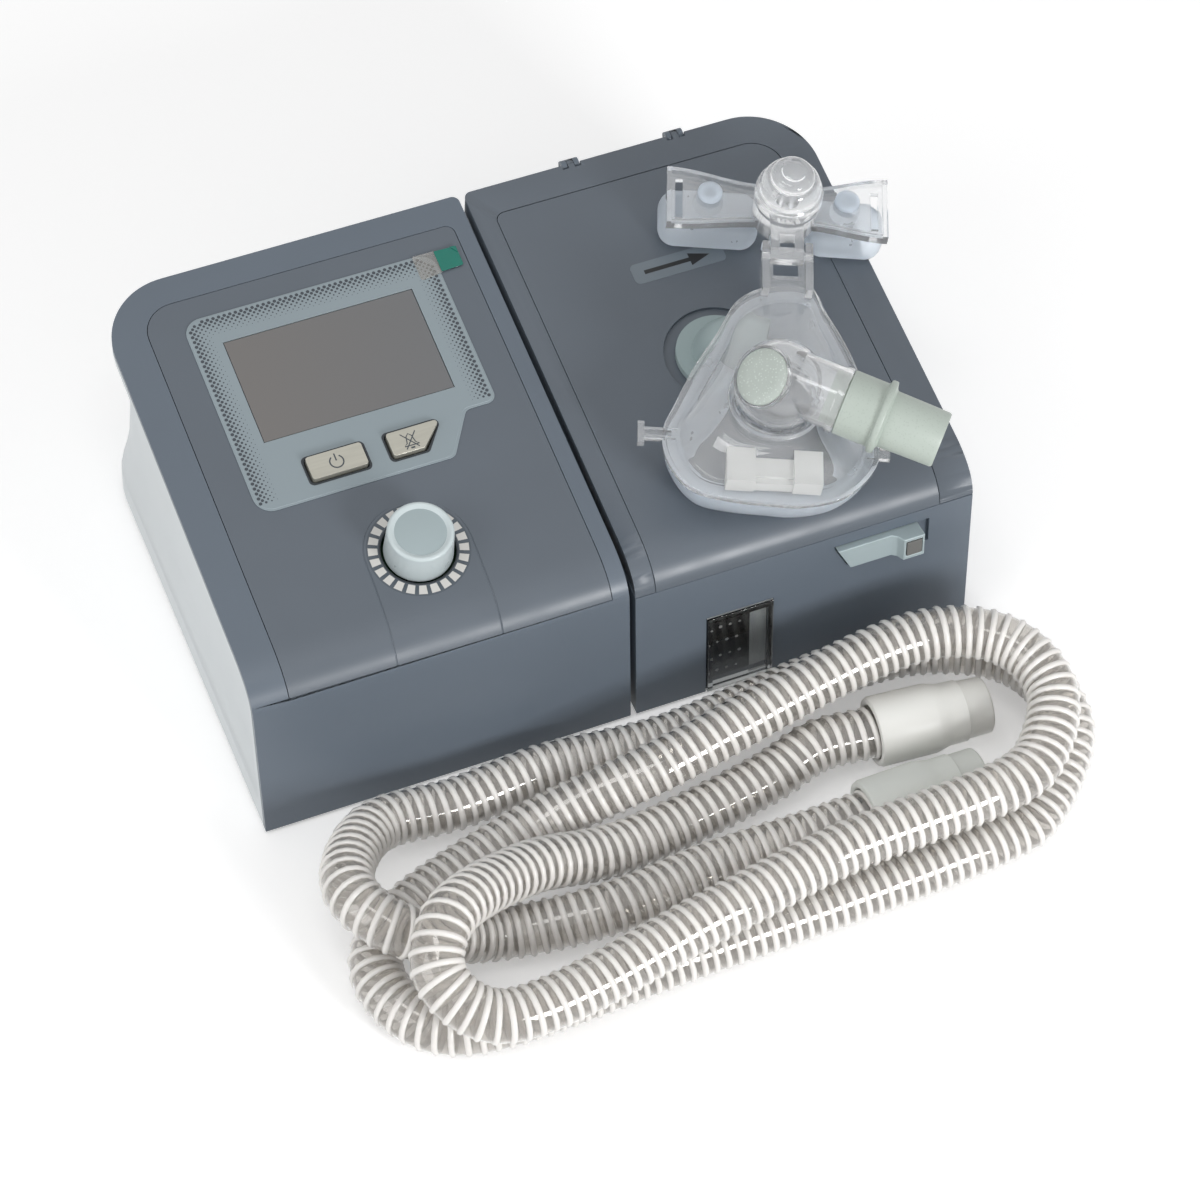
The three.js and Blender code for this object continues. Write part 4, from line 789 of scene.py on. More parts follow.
class Finishes:
    """Every finish of the machine, built once and found by its own name."""

    def __init__(self) -> None:
        """Builds the finishes."""
        made = [
            # The lighter edges of the next four finishes are a painted highlight, with some wear.
            MouldedPlastic("dark_cover", "5e666f", 0.36, grain=0.00005, sheen_and_wear=0.35),
            MouldedPlastic("dark_front", "626c77", 0.36, grain=0.00005, sheen_and_wear=0.35),
            MouldedPlastic("light_body", "d3d8da", 0.45, mottle=0.015),
            MouldedPlastic("blue_grey", "8e9aa0", 0.45, mottle=0.02, sheen_and_wear=0.5),
            MouldedPlastic("pale_grip", "a3b1b4", 0.38, mottle=0.02, sheen_and_wear=0.5),
            MouldedPlastic("white_plastic", "e8e8e4", 0.36, mottle=0.015, inner_light=0.1),
            MouldedPlastic("black_plastic", "1c1d1f", 0.5),
            MouldedPlastic("port_plastic", "9aaaab", 0.4, mottle=0.02),
            MouldedPlastic("cuff_plastic", "b3bdb5", 0.4, mottle=0.03, specks=0.1),
            MouldedPlastic("vent_mesh", "bac3bd", 0.5, mottle=0.06, specks=-0.35),
            MouldedPlastic("circuit_board", "2f5a3c", 0.5, mottle=0.1),
            MouldedPlastic("rubber", "2a2b2d", 0.75, grain=0.00006),
            MouldedPlastic("foam", "55585a", 0.9, grain=0.0004, grain_scale=700.0, mottle=0.15),
            MouldedPlastic("tick_print", "d2d0cc", 0.5, mottle=0.01),
            MouldedPlastic("dark_print", "3d434a", 0.5, mottle=0.05),
            MouldedPlastic("sticker", "747e86", 0.3, mottle=0.02, grain=0.00001),
            MouldedPlastic("grip_insert", "6b6b69", 0.6, grain=0.00008),
            # A lighter copy of pale_grip for the knob; the lighter colour is a painted highlight of the
            # front light on the knob's side.
            MouldedPlastic("satin_grip", "c9d4d6", 0.3, mottle=0.015),
            # shaded_ring: the cover's colour darkened where the knob shades it, painted shade.
            MouldedPlastic("shaded_ring", "4f575f", 0.5, mottle=0.02),
            # window_edge: near-white and glossy; on the window's sill and head it is a painted highlight.
            MouldedPlastic("window_edge", "e4e6e6", 0.2, mottle=0.01, coat=0.6),
            MouldedPlastic("pale_cuff", "dde0db", 0.4, mottle=0.02),
            # slot_shadow: near-black, painted shade in gaps and wells.
            MouldedPlastic("slot_shadow", "2e3338", 0.6, mottle=0.02),
            MouldedPlastic("hose_rib", "ece9e5", 0.3, mottle=0.02, inner_light=0.2, coat=0.4),
            ClearPlastic("hose_film", "ebe8e4", 0.04, 0.92, 1.3, 0.0003, gloss=1.0),
            ClearPlastic("clear_plastic", "fcfdfe", 0.015, 0.87, 1.36, 0.00006, gloss=1.0),
            ClearPlastic("window_plastic", "c9cccd", 0.03, 1.0, 1.45),
            ClearPlastic("clear_silicone", "ecf3fa", 0.26, 0.64, 1.25, 0.00002, 0.05),
            ClearPlastic("cloudy_silicone", "f6f7f6", 0.25, 0.45, 1.35, 0.00003, 0.1),
            ClearPlastic("green_film", "1f8d7c", 0.12, 0.35, 1.45, 0.0001),
            Metal("silver_key", "b4b2a7", 0.34, 0.5, coat=0.2),
            Metal("steel", "b8bcc0", 0.3),
            Metal("aluminium", "c4c7ca", 0.32),
            DarkGlass("screen_glass", "6f6c6a", "696a6c"),
        ]
        self.by_name = {finish.name: finish.build() for finish in made}

    def __getitem__(self, name: str) -> Material:
        """Gives a finish by name."""
        return self.by_name[name]


# What every sub-assembly shares


@dataclass
class Assembly:
    """A sub-assembly that makes pieces and hands them to a CAD body."""

    frames: Frames
    finishes: Finishes
    body: str = ""
    group: str = "top"

    def hand_over(self, made: Piece, name: str, finish: str, body: str = "", slot: str = "",
                  nodes: Sequence[str] = (), place: Matrix | None = None) -> Piece:
        """Places, names and dresses a finished piece and hands it to its body.

        Args:
            made: the piece in its group's millimetres.
            name: the piece's name.
            finish: the finish it is given.
            body: the CAD body that it rides on, where it isn't the sub-assembly's own.
            slot: the record's slot, where it isn't the finish; not used.
            nodes: the CAD nodes that it stands for.
            place: the piece's frame, where it isn't the sub-assembly's own.

        Returns:
            The piece.
        """
        body = body or self.body
        moved(made, place or getattr(self.frames, self.group))
        made.name = name
        made.data.name = name
        made.data.materials.clear()
        made.data.materials.append(self.finishes[finish])
        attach(made, body)
        if nodes:
            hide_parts(*nodes)
        log.info("%s: %d faces on %s", name, len(made.data.polygons), body)
        return made

    def hand_over_node(self, node: str, name: str, finish: str, body: str, width: float,
                       segments: int = 2, angle: float = 42, slot: str = "") -> None:
        """Eases a copy of a CAD node's own mesh and hands it over."""
        made = eased(from_node(node), width, segments, angle)
        self.hand_over(made, name, finish, body, slot=slot, nodes=[node], place=Matrix.Scale(MM, 4))

    def dress_nodes(self, finish: str, *nodes: str) -> None:
        """Gives CAD nodes that keep their shape a finish.

        Args:
            finish: the finish's name.
            nodes: the CAD nodes.
        """
        for node in nodes:
            slots = bpy.data.objects[node].data.materials
            slots.clear()
            slots.append(self.finishes[finish])


# The outlines that both housings share


def fold_points(inset: float, steps: int = 20) -> Outline:
    """Gives the soft fold between front and top, set in by a distance.

    Args:
        inset: the distance below the outer surface.
        steps: steps along the fold.

    Returns:
        The points, from the front up to the top.
    """
    lean = Vector((S.lean, 1.0)).normalized()
    slope = Vector((1.0, S.rise)).normalized()
    corner = Vector((S.edge_y, S.edge_z))
    start = corner - lean * S.fold_front
    end = corner + slope * S.fold_top
    points: Outline = []
    for k in range(steps + 1):
        t = k / steps
        spot = start * (1 - t) ** 2 + corner * (2 * t * (1 - t)) + end * t ** 2
        heading = ((corner - start) * (1 - t) + (end - corner) * t).normalized()
        points.append((spot.x + heading.y * inset, spot.y - heading.x * inset))
    return points


def side_outline(inset: float, rear: float = S.depth, bottom: float = S.foot) -> Outline:
    """Gives a housing's side view, set in by a distance.

    Args:
        inset: the distance below the outer surface.
        rear: the depth of the rear edge.
        bottom: the height of the lower edge.

    Returns:
        The outline in Y and Z.
    """
    fold = fold_points(inset)
    first_y, first_z = fold[0]
    last_y, last_z = fold[-1]
    return [(first_y - (first_z - bottom) * S.lean, bottom), *fold,
            (rear, last_z + (rear - last_y) * S.rise), (rear, bottom)]


def fold_spot(along: float, lift: float = 0.0) -> tuple[float, float]:
    """Gives the depth and height of the outer surface.

    Args:
        along: the distance up the top from the front edge, negative down the front.
        lift: the distance above the surface.

    Returns:
        Depth and height in millimetres.
    """
    fold = fold_points(-lift)
    count = len(fold) - 1
    if along >= S.fold_top:
        y = S.edge_y + along * S.cosine - lift * math.sin(math.radians(S.slope))
        return y, S.edge_z + along * math.sin(math.radians(S.slope)) + lift * S.cosine
    if along <= -S.fold_front:
        first_y, first_z = fold[0]
        down = -S.fold_front - along
        return first_y - down * S.lean / math.hypot(1, S.lean), first_z - down / math.hypot(1, S.lean)
    share = (along + S.fold_front) / (S.fold_front + S.fold_top)
    spot = share * count
    low = min(count - 1, int(spot))
    part = spot - low
    return tuple(fold[low][i] * (1 - part) + fold[low + 1][i] * part for i in (0, 1))


def tube(path: Sequence[Vector], radius: float | Callable[[float], float], around: int = 10) -> Piece:
    """Makes a capped round bar along a path.

    Args:
        path: the centre line's points.
        radius: its radius, or a function of the share of the way.
        around: corners round it.

    Returns:
        The bar.
    """
    rings: list[Ring] = []
    side = Vector((0, 0, 1))
    total = len(path)
    for i, spot in enumerate(path):
        heading = (path[min(total - 1, i + 1)] - path[max(0, i - 1)]).normalized()
        if abs(side.dot(heading)) > 0.98:
            side = Vector((1, 0, 0))
        side = (side - heading * side.dot(heading)).normalized()
        across = heading.cross(side)
        size = radius(i / (total - 1)) if callable(radius) else radius
        rings.append([tuple(spot + side * (size * math.cos(a)) + across * (size * math.sin(a)))
                      for a in (2 * math.pi * k / around for k in range(around))])
    return skin(rings)


# The flow generator's housing


@dataclass
class FlowGenerator(Assembly):
    """The left unit: light body, dark housing, inset cover, display, keys and knob."""

    body: str = "flow_generator"
    cover_left: float = -139.0
    cover_right: float = -8.0
    cover_rear: float = S.depth - 12
    cover_front_z: float = 69.4
    dock_hole: float = 12.3
    knob_x: float = -72.6
    knob_v: float = 38.3
    knob_well: float = 14.6
    groove_ring: float = 21.0
    groove_ends: tuple = (-95.7, -53.0)
    groove_foot: float = 9.6
    groove_lift: float = 0.12
    bezel_corners: tuple = ((-124, 72.4, 6.5), (-45.7, 72.4, 3), (-34.2, 90.8, 3), (-21.2, 90.8, 3),
                            (-21.2, 161, 6.5), (-124, 161, 6.5))
    screen: tuple = (-112.4, -33.9, 100.9, 148.5)
    power_key: tuple = ((-100.5, 78.4, 1.2), (-77.8, 78.4, 1.2), (-77.8, 88.5, 1.2), (-100.5, 88.5, 1.2))
    mute_key: tuple = ((-67.6, 78.2, 1.2), (-54.9, 78.2, 1.2), (-45, 88.6, 1.2), (-67.6, 88.6, 1.2))
    bezel_thickness: float = 5.2
    bezel_proud: float = 0.5
    bezel_lip: float = 0.8
    key_proud: float = 2.6
    key_room: float = 0.7
    moat_shade: float = 1.5
    key_step: float = 1.6

    def grown(self, corners: Corners, reach: float) -> Ring:
        """Moves an outline's corners outwards.

        Args:
            corners: x, y and radius of each corner.
            reach: how far they move.

        Returns:
            The moved corners.
        """
        middle_x = sum(c[0] for c in corners) / len(corners)
        middle_y = sum(c[1] for c in corners) / len(corners)
        return [(x + math.copysign(reach, x - middle_x), y + math.copysign(reach, y - middle_y),
                 r + min(reach, 1) if r else 0) for x, y, r in corners]

    def plate(self, corners: Corners, reach: float, low: float, high: float, steps: int = 10) -> Piece:
        """Makes an upright body of a grown outline."""
        return prism(rounded(self.grown(corners, reach), steps), low, high)

    def cover_opening(self, shrink: float) -> Piece:
        """Makes the body that the inset cover fills.

        Args:
            shrink: how much smaller than the opening it is.

        Returns:
            The body.
        """
        left, right, rear = self.cover_left + shrink, self.cover_right - shrink, self.cover_rear - shrink
        outline = rounded([(left, -BEYOND, 0), (right, -BEYOND, 0), (right, rear, 4 - shrink),
                           (left, rear, 13 - shrink)])
        return prism(outline, self.cover_front_z + shrink, ABOVE)

    def shell(self) -> Piece:
        """Makes the dark skin over front, top and right side.

        Returns:
            The hollow skin.
        """
        solid = side_prism(side_outline(0), S.main_left, S.main_right)
        plan = prism(rounded([(S.main_left, -BEYOND, 0), (S.main_right, -BEYOND, 0),
                              (S.main_right, S.depth, S.inner_corner),
                              (S.main_left, S.depth, S.outer_corner)], 24), 0, ABOVE)
        hollow = side_prism(side_outline(S.wall, S.depth + BEYOND, -BEYOND), S.main_left - BEYOND,
                            S.main_right - S.wall)
        return cut(common(solid, plan), hollow)

    def build_housing(self) -> None:
        """Makes the housing and the cover with its grooves."""
        housing = cut(self.shell(), self.cover_opening(0),
                      rod_along_x(self.dock_hole, S.main_right - 2 * S.wall, S.main_right + 1,
                                  S.dock_y, S.dock_z))
        self.hand_over(eased(housing, 0.45), "main_shell", "dark_front",
                       nodes=["main_housing"], place=self.frames.raw)
        to_top = self.frames.raw.inverted() @ self.frames.top
        cover = common(self.shell(), self.cover_opening(S.gap))
        bezel_hole = moved(self.plate(self.bezel_corners, S.gap, -5, 5), to_top)
        knob_hole = moved(rod(self.knob_well, -5, 5, self.knob_x, self.knob_v), to_top)
        cover = cut(cover, bezel_hole, knob_hole, *[self.groove(side) for side in (-1, 1)])
        self.hand_over(eased(cover, 0.4, 2, 42), "top_cover", "dark_cover",
                       nodes=["main_cover"], place=self.frames.raw)

    def groove(self, side: int) -> Piece:
        """Makes the thin bar that cuts one curved groove from the knob's ring to the front seam.

        Args:
            side: -1 for the left groove, 1 for the right one.

        Returns:
            The bar.
        """
        start_x = self.knob_x + side * self.groove_ring
        end_x = self.groove_ends[0] if side < 0 else self.groove_ends[1]
        path: list[Vector] = []
        for k in range(13):
            angle = math.radians(90 - side * (8 + 82 * k / 12))
            x = self.knob_x + self.groove_ring * math.cos(angle)
            y, z = fold_spot(self.knob_v + self.groove_ring * math.sin(angle), self.groove_lift)
            path.append(Vector((x, y, z)))
        for k in range(1, 29):
            share = k / 28
            soft = share * share * (3 - 2 * share)
            y, z = fold_spot(self.knob_v - share * (self.knob_v + self.groove_foot), self.groove_lift)
            path.append(Vector((start_x + (end_x - start_x) * soft, y, z)))
        return tube(path, lambda t: 0.16 + 0.24 * min(1.0, t * 4), 8)

    def build_body(self) -> None:
        """Makes the light body with its hollowed side."""
        self.hand_over_node("main_body", "light_side", "light_body", "flow_generator", 0.5, angle=40)

    def build_display(self) -> None:
        """Makes the bezel, its printed dots, the display and the film's tab."""
        x0, x1, v0, v1 = self.screen
        deep = -self.bezel_thickness
        bezel = join(prism(rounded(self.bezel_corners), deep, self.bezel_proud),
                     self.plate(self.bezel_corners, 3, deep, deep + 2.2),
                     self.plate(self.bezel_corners, self.bezel_lip, 0.03, self.bezel_proud - 0.15))
        bezel = cut(bezel, block(x0, x1, v0, v1, 2 * deep, 3),
                    *[self.plate(key, self.key_room, 2 * deep, 3, 5)
                      for key in (self.power_key, self.mute_key)])
        self.hand_over(eased(bezel, 0.3, 3, 42), "bezel", "blue_grey", nodes=["display_bezel"])
        glass = block(x0 + 0.25, x1 - 0.25, v0 + 0.25, v1 - 0.25, deep + 1, self.bezel_proud - 0.2)
        self.hand_over(eased(glass, 0.15, 2), "display", "screen_glass", nodes=["display_glass"])
        self.build_film()
        self.hand_over(self.halftone(), "halftone_dots", "dark_print", slot="blue_grey")

    def build_film(self) -> None:
        """Makes the display's clear film, seen at its corner, and the green tab that peels it off."""
        low = self.bezel_proud + 0.1
        sheet = prism(rounded([(-29, 150.5, 1), (-19.6, 151.6, 0.4), (-19.6, 161.9, 0.4),
                               (-29, 162, 1)], 6), low, low + 0.12)
        self.hand_over(smooth(sheet), "film_corner", "hose_film", slot="clear_plastic",
                       nodes=["screen_film"])
        tab = prism(rounded([(-19.9, 152, 0.3), (-10.6, 152.4, 0.8), (-10.5, 158.3, 0.4),
                             (-13.2, 161.5, 0.4), (-19.9, 161.7, 0.3)], 6), low, low + 0.3)
        fold = prism([(-10.7, 158.3), (-10.6, 161.3), (-13.2, 161.6)], low + 0.32, low + 0.6)
        self.hand_over(eased(tab, 0.08, 2), "film_tab", "green_film")
        self.hand_over(smooth(fold), "film_tab_fold", "green_film")

    def halftone(self) -> Piece:
        """Prints the dots that fade inwards from the bezel's edge, by Geometry Nodes.

        Returns:
            The dots as one mesh.
        """
        left, right = (pick(x for x, _, _ in self.bezel_corners) for pick in (min, max))
        low, high = (pick(v for _, v, _ in self.bezel_corners) for pick in (min, max))
        corner_radius = self.bezel_corners[0][2]
        pitch = 2.3
        band = 9.5
        margin = 1.3
        spots: list[Point] = []
        sizes: list[float] = []
        rows = int((high - low) / pitch * 2)
        for row in range(rows):
            v = low + margin + row * pitch / 2
            for column in range(int((right - left) / pitch) + 1):
                x = left + margin + column * pitch + (pitch / 2 if row % 2 else 0)
                edge = min(x - left, right - x, high - v)
                inside = x < right - 1 and v < high - 1 and v > low + (20 if x > -46 else 3.5)
                rear = max(0, v - high + corner_radius)
                corner = max(math.hypot(max(0, left + corner_radius - x), rear),
                             math.hypot(max(0, x - right + corner_radius), rear))
                if not inside or edge > band or corner > 5.6:
                    continue
                size = 0.72 * max(0.0, 1 - max(0.0, edge - 1.6) / band) ** 1.35
                if size > 0.12:
                    spots.append((x, v, self.bezel_proud + 0.01))
                    sizes.append(size)
        return copied_on_points(sized_points("halftone", spots, sizes), self.finishes["dark_print"])

    def build_keys(self) -> None:
        """Makes the two champagne keys with their marks, and a flat dark ring of painted shade round each.
        """
        for corners, body, name in ((self.power_key, "power_key", "power_button"),
                                    (self.mute_key, "mute_key", "mute_button")):
            under = -self.bezel_thickness - S.gap
            key = join(prism(rounded(corners, 5), under - 1, self.key_proud),
                       self.plate(corners, self.key_step, under - 2, under, 5),
                       block(corners[0][0] + 5, corners[0][0] + 8, corners[0][1] + 4, corners[0][1] + 7,
                             under - 4, under - 1))
            key = eased(key, 0.75, 4, 42)
            self.hand_over(key, name + "_cap", "silver_key", body, nodes=[name])
            # A flat dark ring round each key, which is painted shade in the gap between key and bezel.
            moat_shade = cut(self.plate(corners, self.moat_shade, 0.0, self.bezel_proud + 0.06, 5),
                       self.plate(corners, self.key_room, -1, 3, 5))
            self.hand_over(smooth(moat_shade), name + "_moat", "slot_shadow", slot="blue_grey")
        for mark, name, body in ((self.power_mark(), "power_mark", "power_key"),
                                 (self.mute_mark(), "mute_mark", "mute_key")):
            self.hand_over(mark, name, "dark_print", body, slot="silver_key")

    def stroke(self, path: Sequence[Point], width: float, low: float) -> Piece:
        """Draws a flat printed line along points.

        Args:
            path: the points, closed where the last is the first.
            width: the line's width.
            low: the print's lower side.

        Returns:
            The line as a thin solid.
        """
        left: Outline = []
        right: Outline = []
        total = len(path)
        closed = path[0] == path[-1]
        for i, spot in enumerate(path):
            before = path[i - 1] if i else (path[-2] if closed else path[0])
            after = path[i + 1] if i < total - 1 else (path[1] if closed else path[-1])
            heading = (Vector(after) - Vector(before)).normalized()
            across = Vector((-heading.y, heading.x)) * width / 2
            left.append(tuple(Vector(spot) + across))
            right.append(tuple(Vector(spot) - across))
        rings = [[(*left[i], low), (*right[i], low), (*right[i], low + 0.06), (*left[i], low + 0.06)]
                 for i in range(total)]
        return skin(rings[:-1] if closed else rings, closed)

    def power_mark(self) -> Piece:
        """Draws the usual power symbol.

        Returns:
            The mark.
        """
        x, v = -89.3, 83.2
        arc = [(x + 2.7 * math.cos(a), v + 2.7 * math.sin(a))
               for a in (math.radians(125 + 290 * k / 30) for k in range(31))]
        low = self.key_proud - 0.02
        return join(self.stroke(arc, 0.55, low), self.stroke([(x, v + 0.4), (x, v + 3.6)], 0.55, low))

    def mute_mark(self) -> Piece:
        """Draws the usual crossed bell.

        Returns:
            The mark.
        """
        x, v = -59.3, 82.6
        low = self.key_proud - 0.02
        bell = [(x - 3.0, v - 1.9), (x - 1.7, v - 0.8), (x - 1.1, v + 2.2), (x, v + 3.4),
                (x + 1.1, v + 2.2), (x + 1.7, v - 0.8), (x + 3.0, v - 1.9), (x - 3.0, v - 1.9)]
        cross = [[(x - 3.1, v + 3.9), (x + 2.6, v - 3.2)], [(x + 3.1, v + 3.9), (x - 2.6, v - 3.2)]]
        return join(self.stroke(bell, 0.42, low), *[self.stroke(line, 0.42, low) for line in cross],
                    self.stroke([(x - 0.8, v - 3.0), (x + 0.8, v - 3.0)], 0.7, low))

    def build_knob(self) -> None:
        """Makes the dished knob, the ring of printed segments and two flat rings of painted shade round
        the knob.
        """
        seat, high, base, top = -1.5, 14.7, 13.5, 12.9
        profile = [(0, seat), (base - 0.8, seat), (base - 0.2, seat + 0.3), (base, seat + 0.9)]
        profile += [(top, high - 1.5)]
        profile += [(top - 1.1 + 1.1 * math.cos(a), high - 1.1 + 1.1 * math.sin(a))
                    for a in (math.radians(15 * k) for k in range(1, 9))]
        profile += [(top - 2.2, high - 0.5), (top - 2.9, high - 0.95), (10.3, high - 1.0),
                    (10.3, high - 2.3), (0, high - 2.3)]
        knob = moved(lathe(profile, 96), Matrix.Translation((self.knob_x, self.knob_v, 0)))
        knob = cut(knob, rod(3.3, seat - 1, 10.7, self.knob_x, self.knob_v, 32))
        # The knob is lighter than its inlay: a painted highlight on the knob's side.
        self.hand_over(smooth(knob, 50), "turning_knob", "satin_grip", "dial_knob", slot="pale_grip",
                       nodes=["knob"])
        disc = lathe([(0, high - 2.2), (10.2, high - 2.2), (10.2, high - 0.98), (9.9, high - 0.9),
                      (0, high - 0.9)], 96)
        disc = moved(disc, Matrix.Translation((self.knob_x, self.knob_v, 0)))
        self.hand_over(smooth(disc, 50), "knob_inlay", "pale_grip", "dial_knob")
        self.hand_over(self.ticks(), "tick_ring", "tick_print", slot="pale_grip")
        # Painted shade round the knob: a darker plate where the knob shades the cover, and a near-black
        # ring for the shade in the well's gap.
        for name, finish, inner, outer in (("tick_plate", "shaded_ring", 15.4, 20.2),
                                           ("well_rim", "slot_shadow", 14.6, 15.4)):
            collar = [(inner, -0.02), (inner + 0.1, 0.04), (outer - 0.3, 0.04), (outer, -0.02),
                      (inner, -0.02)]
            plate = moved(lathe(collar, 96), Matrix.Translation((self.knob_x, self.knob_v, 0)))
            self.hand_over(smooth(plate), name, finish, slot="dark_cover")

    def ticks(self) -> Piece:
        """Repeats one printed segment round the knob, by Geometry Nodes.

        Returns:
            The segments as one mesh.
        """
        half = math.radians(5.0)
        inner, outer, low = 15.7, 19.4, 0.03
        corners = [(inner, -half * 0.98), (outer, -half), (outer, half), (inner, half * 0.98)]
        flat = [(r * math.cos(a), r * math.sin(a)) for r, a in corners]
        tick = prism(flat, low, low + 0.06)
        return repeated_round(tick, 24, Vector((self.knob_x, self.knob_v, 0)), self.finishes["tick_print"])

    def build(self) -> None:
        """Makes and dresses the whole unit."""
        self.build_housing()
        self.build_body()
        self.build_display()
        self.build_keys()
        self.build_knob()
        self.dress_nodes("circuit_board", "control_board", "main_board")
        self.dress_nodes("black_plastic", "encoder_body", "power_inlet")
        self.dress_nodes("steel", "motor", "encoder_shaft")
        self.dress_nodes("white_plastic", "blower_volute", "blower_cover", "outlet_duct", "impeller")
        self.dress_nodes("foam", "intake_muffler", "filter_pad")
        self.dress_nodes("rubber", "dock_seal", *[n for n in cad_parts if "_foot_" in n])
        self.hand_over_node("filter_cover", "filter_grille", "light_body", "filter_door", 0.25)


# Geometry Nodes trees


class Tree(Graph):
    """A Geometry Nodes tree under construction."""

    def __init__(self, name: str, inputs: dict[str, tuple[str, float]]) -> None:
        """Starts a tree with a geometry socket and named sizes.

        Args:
            name: the tree's name.
            inputs: the socket type and value of each size, by name.
        """
        super().__init__(bpy.data.node_groups.new(name, "GeometryNodeTree"))
        face = self.tree.interface
        face.new_socket("Geometry", in_out="INPUT", socket_type="NodeSocketGeometry")
        self.values: dict[str, float] = {}
        for key, (kind, value) in inputs.items():
            self.values[face.new_socket(key, in_out="INPUT", socket_type=kind).identifier] = value
        face.new_socket("Geometry", in_out="OUTPUT", socket_type="NodeSocketGeometry")
        self.given = self.add("NodeGroupInput").outputs
        self.end = self.add("NodeGroupOutput")

    def scale(self, vector: Socket, factor: Socket) -> Socket:
        """Scales a vector."""
        return self.add("ShaderNodeVectorMath", operation="SCALE", Vector=vector, Scale=factor).outputs[0]

    def vector(self, operation: str, a: Socket, b: Socket) -> Socket:
        """Combines two vectors.

        Args:
            operation: how they combine, such as ADD.
            a: the first vector.
            b: the second vector.

        Returns:
            The result's socket.
        """
        node = self.add("ShaderNodeVectorMath", operation=operation)
        self.link(a, node.inputs[0])
        self.link(b, node.inputs[1])
        return node.outputs[0]

    def finish(self, geometry: Socket, material: Material) -> None:
        """Ends the tree in Realize Instances and Set Material.

        Args:
            geometry: what the tree has made.
            material: its finish.
        """
        real = self.add("GeometryNodeRealizeInstances", Geometry=geometry)
        dress = self.add("GeometryNodeSetMaterial", Geometry=real.outputs["Geometry"], Material=material)
        self.link(dress.outputs["Geometry"], self.end.inputs["Geometry"])

    def applied(self, made: Piece) -> Piece:
        """Runs the tree on an object and leaves a plain mesh.

        Args:
            made: the object that the tree starts from.

        Returns:
            The same object with its new mesh.
        """
        step = made.modifiers.new(self.tree.name, "NODES")
        step.node_group = self.tree
        for identifier, value in self.values.items():
            step[identifier] = value
        return baked(made)


def copied_on_points(cloud: Piece, material: Material) -> Piece:
    """Puts a flat printed disc on every point, as large as its size attribute says.

    Args:
        cloud: loose points with a size attribute.
        material: the discs' finish.

    Returns:
        The discs as one mesh.
    """
    t = Tree("printed_dots", {"Thickness": ("NodeSocketFloat", 0.04), "Sides": ("NodeSocketInt", 10)})
    disc = t.add("GeometryNodeMeshCylinder", Vertices=t.given["Sides"], Radius=1.0,
                 Depth=t.given["Thickness"])
    size = t.add("GeometryNodeInputNamedAttribute", data_type="FLOAT", Name="size").outputs["Attribute"]
    flat = t.add("ShaderNodeCombineXYZ", X=size, Y=size, Z=1.0)
    place = t.add("GeometryNodeInstanceOnPoints", Points=t.given["Geometry"],
                  Instance=disc.outputs["Mesh"], Scale=flat.outputs["Vector"])
    t.finish(place.outputs["Instances"], material)
    return t.applied(cloud)


def repeated_round(single: Piece, count: int, centre: Vector, material: Material) -> Piece:
    """Repeats a mesh round an upright axis.

    Args:
        single: the mesh that is repeated.
        count: the number of copies.
        centre: the axis's place.
        material: the copies' finish.

    Returns:
        The copies as one mesh.
    """
    t = Tree("round_repeat", {"Count": ("NodeSocketInt", count)})
    points = t.add("GeometryNodePoints", Count=t.given["Count"])
    order = t.add("GeometryNodeInputIndex").outputs[0]
    angle = t.math("MULTIPLY", t.math("DIVIDE", order, t.given["Count"]), 2 * math.pi)
    turn = t.add("ShaderNodeCombineXYZ", Z=angle)
    place = t.add("GeometryNodeInstanceOnPoints", Points=points.outputs[0], Instance=t.given["Geometry"],
                  Rotation=turn.outputs["Vector"])
    t.finish(place.outputs["Instances"], material)
    return moved(t.applied(single), Matrix.Translation(centre))


# The humidifier


